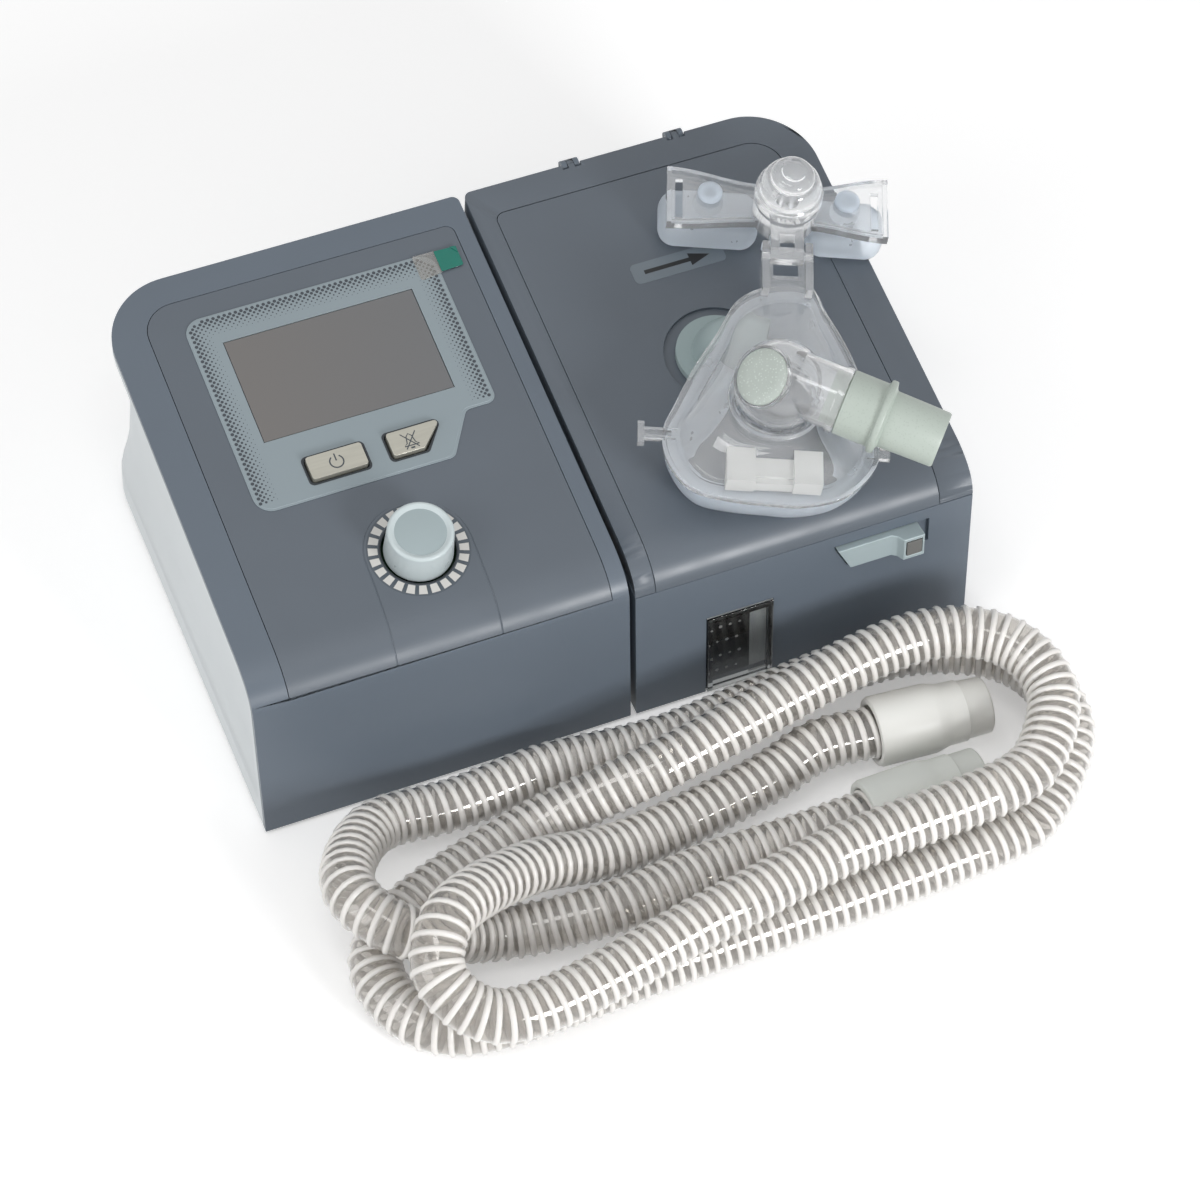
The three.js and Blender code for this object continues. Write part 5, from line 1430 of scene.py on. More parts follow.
@dataclass
class Humidifier(Assembly):
    """The right unit: base with window and latch, lid with inset panel and outlet port."""

    seam_front_z: float = 66.4
    seam_front_y: float = 11.0
    seam_rear_z: float = 92.0
    window: tuple = (31.0, 59.6, 44.0)
    latch_tip: float = 85.7
    latch_x1: float = 121.0
    latch_s0: float = 50.2
    latch_s1: float = 61.3
    latch_slant: float = 5.6
    hinge_places: tuple = (44.0, 89.5)
    hinge_y: float = S.depth + 1.2
    hinge_z: float = 97.0
    pin_hole: float = 1.25
    dock_hole: float = 9.2
    panel: tuple = (9.5, 130.4, S.depth - 13)

    def above_seam(self, lift: float) -> Piece:
        """Makes the half space above the lid's seam.

        Args:
            lift: the distance above the seam.

        Returns:
            The half space.
        """
        slope = (self.seam_rear_z - self.seam_front_z) / (S.depth - self.seam_front_y)

        def height(y: float) -> float:
            """Gives the seam's height at a depth."""
            return self.seam_front_z + (y - self.seam_front_y) * slope + lift

        near, far = -BEYOND, S.depth + BEYOND
        return side_prism([(near, height(near)), (far, height(far)), (far, FAR), (near, FAR)], -FAR, FAR)

    def plan(self, inset: float) -> Piece:
        """Makes the upright body of the unit's plan.

        Args:
            inset: the distance inside the unit's outline.

        Returns:
            The body.
        """
        left, right, rear = S.humidifier_left + inset, S.humidifier_right - inset, S.depth - inset
        outline = rounded([(left, -BEYOND, 0), (right, -BEYOND, 0), (right, rear, S.outer_corner - inset),
                           (left, rear, max(S.inner_corner - inset, 0.6))], 24)
        return prism(outline, -BEYOND, FAR)

    def shell(self) -> Piece:
        """Makes the whole hollow unit before it is parted into base and lid.

        Returns:
            The hollow unit.
        """
        outer = common(side_prism(side_outline(0), S.humidifier_left, S.humidifier_right), self.plan(0))
        inner = common(side_prism(side_outline(S.wall, S.depth, S.foot + S.wall), S.humidifier_left,
                                  S.humidifier_right), self.plan(S.wall))
        return cut(outer, inner)

    def panel_opening(self, shrink: float) -> Piece:
        """Makes the upright body that the inset lid panel fills.

        Args:
            shrink: how much smaller than the opening it is.

        Returns:
            The body.
        """
        left, right, rear = self.panel
        rear -= shrink
        return prism(rounded([(left + shrink, -BEYOND, 0), (right - shrink, -BEYOND, 0),
                              (right - shrink, rear, 13 - shrink),
                              (left + shrink, rear, 4 - shrink)]), 0, FAR)

    def knuckle(self, x0: float, x1: float, foot_z: float) -> Piece:
        """Makes one hinge knuckle on its web."""
        y, z, radius = self.hinge_y, self.hinge_z, 2.6
        return join(rod_along_x(radius, x0, x1, y, z, 32),
                    block(x0, x1, S.depth - 1, y + radius - 0.6, foot_z, z))

    def pin_holes(self) -> list[Piece]:
        """Makes the bars that bore the hinge."""
        return [rod_along_x(self.pin_hole, x - 1, x + 8.4, self.hinge_y, self.hinge_z, 24)
                for x in self.hinge_places]

    def build_base(self) -> None:
        """Makes the base with the window's opening, the latch's pocket and the hinge."""
        front = self.frames.raw.inverted() @ self.frames.front
        x0, x1, high = self.window
        base = cut(self.shell(), self.above_seam(0))
        backing = [(self.latch_tip - 4, self.latch_s0 - 5), (131, self.latch_s0 - 5),
                   (131, self.latch_s1 + 3.4), (self.latch_tip - 4, self.latch_s1 + 3.4)]
        base = join(base, moved(face_prism(backing, 1, 5), front))
        for x in self.hinge_places:
            base = join(base, self.knuckle(x, x + 2.2, self.seam_rear_z - 8),
                        self.knuckle(x + 5.2, x + 7.4, self.seam_rear_z - 8))
        pocket = [(self.latch_tip - 0.8, self.latch_s1 + 0.5),
                  (self.latch_tip + self.latch_slant - 0.4, self.latch_s0 - 0.6),
                  (126, self.latch_s0 - 0.6), (126, self.latch_s1 + 0.5)]
        base = cut(base, moved(block(x0, x1, -BEYOND, 4.8, -BEYOND, high), front),
                   moved(face_prism(pocket, -BEYOND, 2), front),
                   moved(block(99.7, 109.3, -1, 10, 52.7, 58.3), front),
                   rod_along_x(self.dock_hole, S.humidifier_left - 1, S.humidifier_left + 2 * S.wall,
                               S.dock_y, S.dock_z), *self.pin_holes())
        self.hand_over(eased(base, 0.45, 3, 40), "humidifier_shell", "dark_front", "humidifier",
                       nodes=["humidifier_base"], place=self.frames.raw)

    def build_lid(self) -> None:
        """Makes the lid's frame and its inset panel."""
        lid = common(self.shell(), self.above_seam(2 * S.gap))
        lid = cut(lid, self.panel_opening(0))
        lid = join(lid, *[self.knuckle(x + 2.5, x + 4.9, self.seam_rear_z + 1.5)
                          for x in self.hinge_places])
        room = []
        for x in self.hinge_places:
            for start, end in ((x - S.gap, x + 2.5), (x + 4.9, x + 7.7)):
                room.append(block(start, end, S.depth - 2, S.depth + BEYOND, self.seam_rear_z - 4, ABOVE))
        lid = cut(lid, *room, *self.pin_holes())
        self.hand_over(eased(lid, 0.45, 3, 40), "lid_frame", "dark_cover", "lid",
                       nodes=["humidifier_lid"], place=self.frames.raw)
        to_top = self.frames.raw.inverted() @ self.frames.top
        panel = common(self.shell(), self.above_seam(S.gap), self.panel_opening(S.gap))
        panel = join(panel, moved(rod(23.5, -4, -1.2, S.port_x, S.port_v), to_top))
        panel = cut(panel, moved(rod(21.5, -1.6, 4, S.port_x, S.port_v), to_top),
                    moved(rod(10.9, -8, 4, S.port_x, S.port_v), to_top))
        self.hand_over(eased(panel, 0.4, 3, 42), "inset_panel", "dark_cover", "lid", nodes=["lid_panel"],
                       place=self.frames.raw)

    def build_port(self) -> None:
        """Makes the bent outlet port on its round flange."""
        bend = S.port_bend
        low, axis_h, run = -17.0, 12.8, 5.5
        straight = axis_h - bend - low
        arc = bend * math.pi / 2

        def spot(along: float) -> Vector:
            """Gives the centre line's point at a distance along it.

            Args:
                along: the distance from the lower end.

            Returns:
                The point.
            """
            out, up = 0.0, along
            if along > straight + arc:
                out, up = bend + along - straight - arc, straight + bend
            elif along > straight:
                angle = (along - straight) / bend
                out, up = bend * (1 - math.cos(angle)), straight + bend * math.sin(angle)
            return Vector((S.port_x, S.port_v, low + up)) + PORT_HEADING * out

        total = straight + arc + run
        outer = [spot(total * k / 40) for k in range(41)]
        inner = [spot(-3), *[spot(total * k / 40) for k in range(41)], spot(total + 3)]
        port = join(tube(outer, 10.6, 48), rod(16.8, -1.3, 1.7, S.port_x, S.port_v, 72))
        port = cut(port, tube(inner, 8.6, 40))
        self.hand_over(eased(port, 0.6, 3, 50), "bent_port", "port_plastic", "lid", nodes=["outlet_port"])

    def build_latch(self) -> None:
        """Makes the sliding latch with its dark insert."""
        arm = face_prism([(self.latch_tip, self.latch_s1),
                          (self.latch_tip + self.latch_slant, self.latch_s0),
                          (self.latch_x1, self.latch_s0), (self.latch_x1, self.latch_s1)], -2.6, 1.7)
        thumb = prism(rounded([(108, -2.1, 0), (110.5, -4, 1.5), (112, -7, 0.5), (self.latch_x1, -7, 0.6),
                               (self.latch_x1, -1.6, 0)], 6), self.latch_s0, self.latch_s1)
        latch = join(arm, thumb, block(100, 105, 0.7, 7, 53, 58))
        latch = cut(latch, block(113, self.latch_x1 - 1, -8, -6, self.latch_s0 + 1.7, self.latch_s1 - 1.7))
        self.hand_over(eased(latch, 0.4, 3, 42), "sliding_latch", "pale_grip", "latch",
                       nodes=["latch_slider"], place=self.frames.front)
        pad = block(113.3, self.latch_x1 - 1.3, -7.2, -6.1, self.latch_s0 + 2, self.latch_s1 - 2)
        self.hand_over(eased(pad, 0.2, 2), "latch_insert", "grip_insert", "latch", slot="black_plastic",
                       nodes=["latch_pad"], place=self.frames.front)

    def build_window(self) -> None:
        """Makes the clear level window."""
        self.hand_over_node("level_window", "water_window", "window_plastic", "humidifier", 0.35,
                            slot="clear_plastic")
        front = self.frames.front
        x0, x1, high = self.window
        guide = block(x0 + 20.2, x1 - 0.6, 4.9, 5.3, 1, high - 8)
        self.hand_over(eased(guide, 0.1, 2), "tank_guide", "window_edge", "humidifier",
                       slot="clear_plastic", place=front)
        # Sill and head are near-white bars along the opening's lower and upper edges; their colour is a
        # painted highlight on the window's edges.
        sill = block(x0 + 0.3, x1 - 0.3, -0.9, 0.5, 1.8, 2.9)
        head = block(x0 + 0.3, x1 - 0.3, -0.2, 0.5, high - 0.8, high - 0.3)
        for name, bar in (("window_sill", sill), ("window_head", head)):
            self.hand_over(eased(bar, 0.2, 2), name, "window_edge", "humidifier", slot="clear_plastic",
                           place=front)
        self.hand_over(self.pins(), "tank_pins", "window_edge", "humidifier", slot="clear_plastic",
                       place=front @ Matrix.Rotation(math.pi / 2, 4, "X"))

    def pins(self) -> Piece:
        """Dots the tank's wall behind the window with its moulded pins, by Geometry Nodes.

        Returns:
            The pins as one mesh.
        """
        x0, _, _ = self.window
        grid = [(row, column) for row in range(4) for column in range(4)]
        spots = [(x0 + 2.4 + 4.1 * column + 1.3 * (row % 2), 7.5 + 8.2 * row, -5.2)
                 for row, column in grid]
        sizes = [0.55 + 0.25 * ((5 * i) % 3) / 2 for i in range(len(spots))]
        return copied_on_points(sized_points("pins", spots, sizes), self.finishes["window_edge"])

    def build_sticker(self) -> None:
        """Makes the sticker with a plain arrow, which points to the outlet."""
        plate = prism(rounded_box(51.5, 90.5, 121.8, 131.2, 2.2), 0.0, 0.12)
        self.hand_over(smooth(plate), "outlet_sticker", "sticker", "lid", slot="dark_cover")
        shaft = prism([(56.5, 125.6), (76, 125.6), (76, 127.4), (56.5, 127.4)], 0.1, 0.17)
        head = prism([(76, 123.6), (84.5, 126.5), (76, 129.4)], 0.1, 0.17)
        self.hand_over(join(shaft, head), "outlet_arrow", "black_plastic", "lid")

    def build(self) -> None:
        """Makes and dresses the whole unit."""
        self.build_base()
        self.build_lid()
        self.build_port()
        self.build_latch()
        self.build_window()
        self.build_sticker()
        self.dress_nodes("aluminium", "heater_plate")
        self.dress_nodes("window_plastic", "water_tank", "tank_lid")
        self.dress_nodes("clear_silicone", "port_seal")
        self.dress_nodes("port_plastic", "inlet_tube")
        self.dress_nodes("blue_grey", "lid_liner")
        self.dress_nodes("steel", "hinge_pin_left", "hinge_pin_right")


# The mask


@dataclass
class Mask(Assembly):
    """The clear mask: shell, cushion, elbow, cuff and forehead support."""

    body: str = "mask"
    group: str = "mask"
    socket: tuple = (-2.0, -7.2)
    flange_low: float = 24.0
    flange_high: float = 26.0
    dome_high: float = 34.6
    socket_outer: float = 18.4
    socket_inner: float = 16.2
    collar_high: float = 37.0
    points: int = 128
    flange_outline: tuple = ((-7.9, 47.2), (-16.1, 41), (-23.2, 26.8), (-32.5, 9.9), (-40.6, -8.6),
                             (-44, -16.8), (-44.3, -26.1), (-40.4, -36), (-33.2, -43.8),
                             (-20.2, -47.3), (-4.6, -48.5), (9.6, -48.4), (24.5, -43.9),
                             (34.7, -34.5), (39.1, -24), (35.6, -4), (30.5, 15.2), (24.9, 28),
                             (18.8, 39.4), (14.5, 48.8), (3.4, 50.4))
    elbow_h: float = 51.5
    ball_h: float = 46.0
    hub: tuple = (4.0, 88.0)
    pad_waist: float = 1.3
    reaches: list[float] = field(default_factory=list)

    def measure_outline(self) -> None:
        """Finds the flange's reach from the socket in every direction."""
        curve = smooth_curve([Vector((*p, 0)) for p in self.flange_outline], 24, True)
        polar = sorted((math.atan2(p.y - self.socket[1], p.x - self.socket[0]) % (2 * math.pi),
                        math.hypot(p.y - self.socket[1], p.x - self.socket[0])) for p in curve)
        for i in range(self.points):
            angle = 2 * math.pi * i / self.points
            before = max((p for p in polar if p[0] <= angle),
                         default=(polar[-1][0] - 2 * math.pi, polar[-1][1]))
            after = min((p for p in polar if p[0] > angle),
                        default=(polar[0][0] + 2 * math.pi, polar[0][1]))
            share = (angle - before[0]) / (after[0] - before[0])
            self.reaches.append(before[1] * (1 - share) + after[1] * share)

    def ring(self, reach_of: Callable[[float], float], height: float) -> Ring:
        """Gives a ring whose radius follows the flange's reach.

        Args:
            reach_of: gives the ring's radius from the flange's reach.
            height: the ring's height.

        Returns:
            The ring.
        """
        made: Ring = []
        for i, reach in enumerate(self.reaches):
            angle = 2 * math.pi * i / self.points
            radius = reach_of(reach)
            made.append((self.socket[0] + radius * math.cos(angle),
                         self.socket[1] + radius * math.sin(angle), height))
        return made

    def inset_rings(self, section: Sequence[tuple[float, float]]) -> list[Ring]:
        """Gives rings set in from the flange's outline, from pairs of inset and height."""
        return [self.ring(lambda reach, i=inset: reach - i, height) for inset, height in section]

    def dome(self, share: float, width: float, socket: float, low: float, high: float) -> Ring:
        """Gives a ring of the dome between flange and socket."""
        return self.ring(lambda reach: (reach - width) * (1 - share) + socket * share,
                         low + (high - low) * math.sin(share * math.pi / 2))

    def build_shell(self) -> None:
        """Makes the clear shell with its rim, dome, socket and neck."""
        low, high = self.flange_low, self.flange_high
        shares = [k / 12 for k in range(13)]
        rim = [(0.4, low), (0, low + 0.4), (0, high + 0.5), (0.5, high + 0.9), (1.4, high + 0.9),
               (1.9, high + 0.1), (5.2, high + 0.1), (5.8, high + 1.0), (6.8, high + 1.1)]
        collar = [(self.socket_outer, self.collar_high - 0.9), (self.socket_outer - 0.6, self.collar_high),
                  (self.socket_inner + 0.3, self.collar_high), (self.socket_inner, self.collar_high - 0.4)]
        rings = self.inset_rings(rim)
        rings += [self.dome(s, 7.2, self.socket_outer, high + 0.8, self.dome_high) for s in shares]
        rings += [self.ring(lambda _, r=radius: r, height) for radius, height in collar]
        rings += [self.dome(s, 9.0, self.socket_inner, low + 0.1, self.dome_high - 2)
                  for s in reversed(shares)]
        shell = skin(rings, True)
        neck = [prism(rounded_box(-6.5, 13.5, 42, 66, 1.2, 4), low, high + 0.8),
                prism(rounded_box(-6.5, -3.5, 44, 66, 0.6, 3), low + 1, 33),
                prism(rounded_box(10.5, 13.5, 44, 66, 0.6, 3), low + 1, 33),
                block(-54, -38, -22.5, -18, low + 0.2, high + 1),
                block(-54, -51.5, -25, -15.5, low + 0.2, high + 1),
                block(34, 43, -26, -21.5, low + 0.2, high + 1)]
        shell = join(shell, *neck)
        shell = cut(shell, rod_along_x(1.6, -7.5, 14.5, 60, 30.5, 24),
                    block(-1.5, 8.5, 54, 61, low - 1, high + 2),
                    block(-51, -41, -21.4, -19.1, low + 1.4, high + 2))
        self.hand_over(smooth(shell, 40), "mask_frame", "clear_plastic", nodes=["mask_shell"])

    def build_cushion(self) -> None:
        """Makes the rolled silicone cushion, dented over the port."""
        section = [(2.2, 23.7), (1.7, 22), (1.6, 19), (2.1, 15.5), (3.3, 12), (5.0, 8.6), (6.8, 5.6),
                   (8.6, 3.2), (10.4, 1.6), (12, 1.0), (13.6, 1.3), (14.9, 2.2), (15.6, 3.6),
                   (15.6, 4.8), (14.6, 4.8), (13.2, 4.0), (12, 4.0), (10.6, 5.2), (8.8, 7.6),
                   (7.2, 10.4), (5.9, 13.4), (5.2, 16.4), (5.0, 19), (5.4, 21.8), (8, 23.7)]
        loop = skin(self.inset_rings(section), True)
        loop = cut(loop, *self.port_room())
        cushion = self.hand_over(smooth(loop, 50), "face_cushion", "clear_silicone",
                                 nodes=["mask_cushion"])

    def port_room(self) -> list[Piece]:
        """Makes the room that the cushion leaves for the outlet port, also as the mask lifts off.

        Returns:
            The room's three solids.
        """
        to_mask = self.frames.mask.inverted() @ self.frames.top
        reach = 11.1
        foot, rise = -20, 21.3
        axis = Matrix.Translation((S.port_x, S.port_v, 0))
        start = Vector((S.port_x, S.port_v, foot))
        path = [start, start + Vector((0, 0, rise))]
        for k in range(1, 13):
            angle = math.pi / 2 * k / 12
            up = Vector((0, 0, rise + S.port_bend * math.sin(angle)))
            path.append(start + up + PORT_HEADING * (S.port_bend * (1 - math.cos(angle))))
        path.append(path[-1] + PORT_HEADING * 6.5)
        turn = Matrix.Rotation(math.atan2(PORT_HEADING.y, PORT_HEADING.x), 4, "Z")
        lift = moved(block(0, 18, -reach, reach, -2.4, 12.8), axis @ turn)
        flange = rod(17.3, -2.4, 2.2, S.port_x, S.port_v)
        return [moved(room, to_mask) for room in (tube(path, reach, 32), flange, lift)]

    def build_cap(self) -> None:
        """Makes the pale double port cap at the shell's foot."""
        self.hand_over_node("port_cap", "double_cap", "cloudy_silicone", "mask", 0.7, 3,
                            slot="clear_silicone")

    def along_elbow(self) -> Matrix:
        """Gives the frame of the elbow's side tube, with its axis along Z."""
        return (Matrix.Translation((*self.socket, self.elbow_h))
                @ Matrix.Rotation(math.radians(-20.2), 4, "Z")
                @ Matrix.Rotation(math.radians(92), 4, "Y"))

    def along_vent(self) -> Matrix:
        """Gives the frame of the vent, with its axis along Z.

        Returns:
            The frame.
        """
        heading = Vector((-0.607, -0.25, 0.754)).normalized()
        turn = Vector((0, 0, 1)).rotation_difference(heading).to_matrix().to_4x4()
        return Matrix.Translation((*self.socket, self.ball_h)) @ turn

    def ball(self, radius: float, steps: int) -> Piece:
        """Makes the elbow's ball."""
        profile = [(0.0 if k in (0, steps) else radius * math.cos(a), radius * math.sin(a))
                   for k in range(steps + 1) for a in [math.pi * (k / steps - 0.5)]]
        return moved(lathe(profile, 64), Matrix.Translation((*self.socket, self.ball_h)))

    def build_elbow(self) -> None:
        """Makes the clear elbow, its vent disc and the turning cuff."""
        side, vent = self.along_elbow(), self.along_vent()
        x, u = self.socket
        solid = cut(self.ball(17.5, 40), moved(block(-BEYOND, BEYOND, -BEYOND, BEYOND, 13.5, 40), vent))
        solid = join(solid, rod(15.9, 32, self.ball_h, x, u, 72), moved(rod(12.4, 6, 25), side),
                     moved(lathe([(11.5, 21.6), (13.0, 22.0), (13.2, 22.6), (13.2, 24.6), (12.8, 25),
                                  (11.5, 25), (11.5, 21.6)]), side),
                     moved(lathe([(0, 9.5), (12.4, 9.5), (12.6, 10), (12.6, 13), (12.1, 13.5), (0, 13.5)]),
                           vent))
        room = cut(self.ball(15.6, 36), moved(block(-BEYOND, BEYOND, -BEYOND, BEYOND, 10.7, 40), vent))
        collar = lathe([(15.9, 0), (20.5, 0), (20.5, self.collar_high + 0.3),
                        (15.9, self.collar_high + 0.3), (15.9, 0)])
        solid = cut(solid, room, rod(13.6, 31, self.ball_h, x, u), moved(rod(10.9, 2, 26), side),
                    moved(rod(11.3, 11.7, 15.5), vent), moved(rod(9, 7.9, 13.5), vent),
                    moved(collar, Matrix.Translation((x, u, 0))), rod(17.5, 0, 32, x, u))
        self.hand_over(smooth(solid, 30), "clear_elbow", "clear_plastic", "mask_elbow", nodes=["elbow"])
        disc = lathe([(0, 12), (10.6, 12), (11, 12.3), (11, 13.2), (10.4, 13.6), (6, 13.75), (0, 13.8)])
        disc = moved(disc, vent)
        self.hand_over(smooth(disc, 50), "vent_plate", "vent_mesh", "mask_elbow", slot="cuff_plastic",
                       nodes=["vent_disc"])
        cuff = lathe([(9.2, 19), (10.6, 19), (10.6, 25.3), (12.5, 25.3), (12.8, 25.6), (12.7, 38.9),
                      (13.3, 39.4), (14.2, 39.7), (14.5, 40.2), (14.5, 41.6), (14.2, 42.1),
                      (12.2, 42.5), (11.3, 43), (11.2, 44), (10.9, 64.2), (10.4, 65), (9.5, 65),
                      (9.2, 64.7), (9.2, 19)], 96)
        self.hand_over(smooth(moved(cuff, side), 35), "turning_cuff", "cuff_plastic", "mask_swivel",
                       nodes=["swivel_cuff"])

    def wing(self, x0: float, x1: float, outer_u0: float, outer_u1: float) -> list[Piece]:
        """Makes one wing of the forehead bar with its raised rims.

        Args:
            x0: the outer end.
            x1: the inner end.
            outer_u0: the lower edge at the outer end.
            outer_u1: the upper edge at the outer end.

        Returns:
            The plate and its three rims.
        """
        inner_u0, inner_u1, low, high, rim = 81.0, 98.0, 19.0, 21.4, 24.0
        way = math.copysign(2.0, x1 - x0)
        steps = 12
        soft = [(x0 + (x1 - x0) * k / steps, 0.5 - 0.5 * math.cos(math.pi * k / steps))
                for k in range(steps + 1)]
        lower = [(x, outer_u0 + (inner_u0 - outer_u0) * s) for x, s in soft]
        upper = [(x, outer_u1 + (inner_u1 - outer_u1) * s) for x, s in soft]
        plate = prism(lower + upper[::-1], low, high)
        near = prism(lower + [(x, u + 1.6) for x, u in reversed(lower)], low, rim)
        far = prism([(x, u - 1.6) for x, u in upper] + upper[::-1], low, rim)
        end = prism([(x0, outer_u0), (x0 + way, outer_u0), (x0 + way, outer_u1), (x0, outer_u1)], low, rim)
        return [plate, near, far, end]

    def build_forehead(self) -> None:
        """Makes the forehead bar, its dial and the two pads."""
        x, u = self.hub
        arm = join(rod(13, 18, 29.7, x, u, 72), *self.wing(-43, -4, 78, 104), *self.wing(45, 12, 77, 104),
                   block(-3.1, 10.1, 58.8, 80, 27.2, 32), rod_along_x(1.3, -6, 13, 60, 30.5, 24))
        arm = cut(arm, rod(2.8, 18, 25, -25.8, 93.5, 32), rod(2.8, 18, 25, 28.9, 93.3, 32),
                  block(-39.5, -36.5, 82, 100, 18, 25), block(38.5, 41.5, 82, 99, 18, 25),
                  rod(3.4, 22, 33, x, u, 32), block(0.5, 6.5, 64, 70, 26, 33))
        self.hand_over(eased(arm, 0.35, 2, 42), "forehead_bar", "clear_plastic", "forehead_support",
                       nodes=["forehead_arm"])
        z = 32.0
        dial = [(0, 22.3), (3.1, 22.3), (3.1, z), (13.2, z), (13.5, z + 0.3), (13.5, z + 3.6),
                (13.1, z + 4.4), (13.1, z + 5.2), (12.4, z + 6), (12.4, z + 6.8), (11.9, z + 8.6),
                (11.3, z + 10.4), (10.2, z + 12.2), (9.4, z + 12.9), (8.8, z + 13.1), (8.7, z + 14.4),
                (8.2, z + 15.6), (7.3, z + 16.5), (6.2, z + 17), (4.9, z + 17.2), (4.6, z + 17.8),
                (3.6, z + 18.3), (1.8, z + 18.55), (0, z + 18.6)]
        turner = moved(lathe(dial, 96), Matrix.Translation((x, u, 0)))
        self.hand_over(smooth(turner, 32), "forehead_turner_cap", "clear_plastic", "forehead_turner",
                       nodes=["forehead_dial"])
        for name, box, peg in (("pad_left", (-45, -5, 79, 103), (-25.8, 93.5)),
                               ("pad_right", (14, 45, 78, 102), (28.9, 93.3))):
            self.build_pad(name, box, peg)

    def build_pad(self, node: str, box: Point, peg: Point) -> None:
        """Makes one soft forehead pad with its mushroom peg.

        Args:
            node: the pad's CAD node.
            box: the pad's ends in x and u.
            peg: the peg's place.
        """
        x0, x1, u0, u1 = box
        levels = [(0.6, 5.2), (0.9, 3.2), (1.6, 1.7), (2.8, 0.7), (5, 0.1), (7.5, 0.0), (10, 0.4),
                  (11.8, 1.3), (13, 2.8), (13.7, 5.4)]
        rings: list[Ring] = []
        middle_x, middle_u = (x0 + x1) / 2, (u0 + u1) / 2
        for height, inset in levels:
            outline = rounded_box(x0 + inset, x1 - inset, u0 + inset, u1 - inset, 8 - inset * 0.9, 12)
            ring: Ring = []
            for px, pu in outline:
                along = (px - middle_x) / (x1 - x0) * 2
                across = (pu - middle_u) / (u1 - u0) * 2
                ring.append((px, pu - self.pad_waist * (1 - along * along) * across, height))
            rings.append(ring)
        body = skin(rings)
        low = 18.7
        stem = lathe([(0, 13), (6, 13), (5.8, 16), (5.4, low), (2.5, low), (2.5, 22.3), (5, 22.3),
                      (4.9, 23.6), (4.2, 24.3), (3, 24.8), (0, 24.9)], 48)
        pad = join(body, moved(stem, Matrix.Translation((*peg, 0))))
        cushion = self.hand_over(smooth(pad, 45), node + "_cushion", "clear_silicone", "forehead_support",
                                 nodes=[node])

    def build(self) -> None:
        """Makes and dresses the whole mask."""
        self.measure_outline()
        self.build_shell()
        self.build_cushion()
        self.build_cap()
        self.build_elbow()
        self.build_forehead()


# The hose


def smooth_curve(points: Sequence[Vector], steps: int, closed: bool = False) -> list[Vector]:
    """Draws a centripetal curve through points, as the CAD model does.

    Args:
        points: the points it goes through.
        steps: steps between two points.
        closed: true where the last point meets the first.

    Returns:
        The curve's points.
    """
    count = len(points)
    made: list[Vector] = []
    for i in range(count if closed else count - 1):
        a = points[(i - 1) % count] if closed or i > 0 else points[0] * 2 - points[1]
        b = points[i]
        c = points[(i + 1) % count]
        d = points[(i + 2) % count] if closed or i < count - 2 else points[-1] * 2 - points[-2]
        ta = max(1e-4, (b - a).length ** 0.5)
        tb = max(1e-4, (c - b).length ** 0.5)
        tc = max(1e-4, (d - c).length ** 0.5)
        start = ((b - a) / ta - (c - a) / (ta + tb) + (c - b) / tb) * tb
        end = ((c - b) / tb - (d - b) / (tb + tc) + (d - c) / tc) * tb
        for k in range(steps):
            t = k / steps
            made.append(b * (2 * t ** 3 - 3 * t ** 2 + 1) + start * (t ** 3 - 2 * t ** 2 + t)
                        + c * (-2 * t ** 3 + 3 * t ** 2) + end * (t ** 3 - t ** 2))
    if not closed:
        made.append(points[-1].copy())
    return made


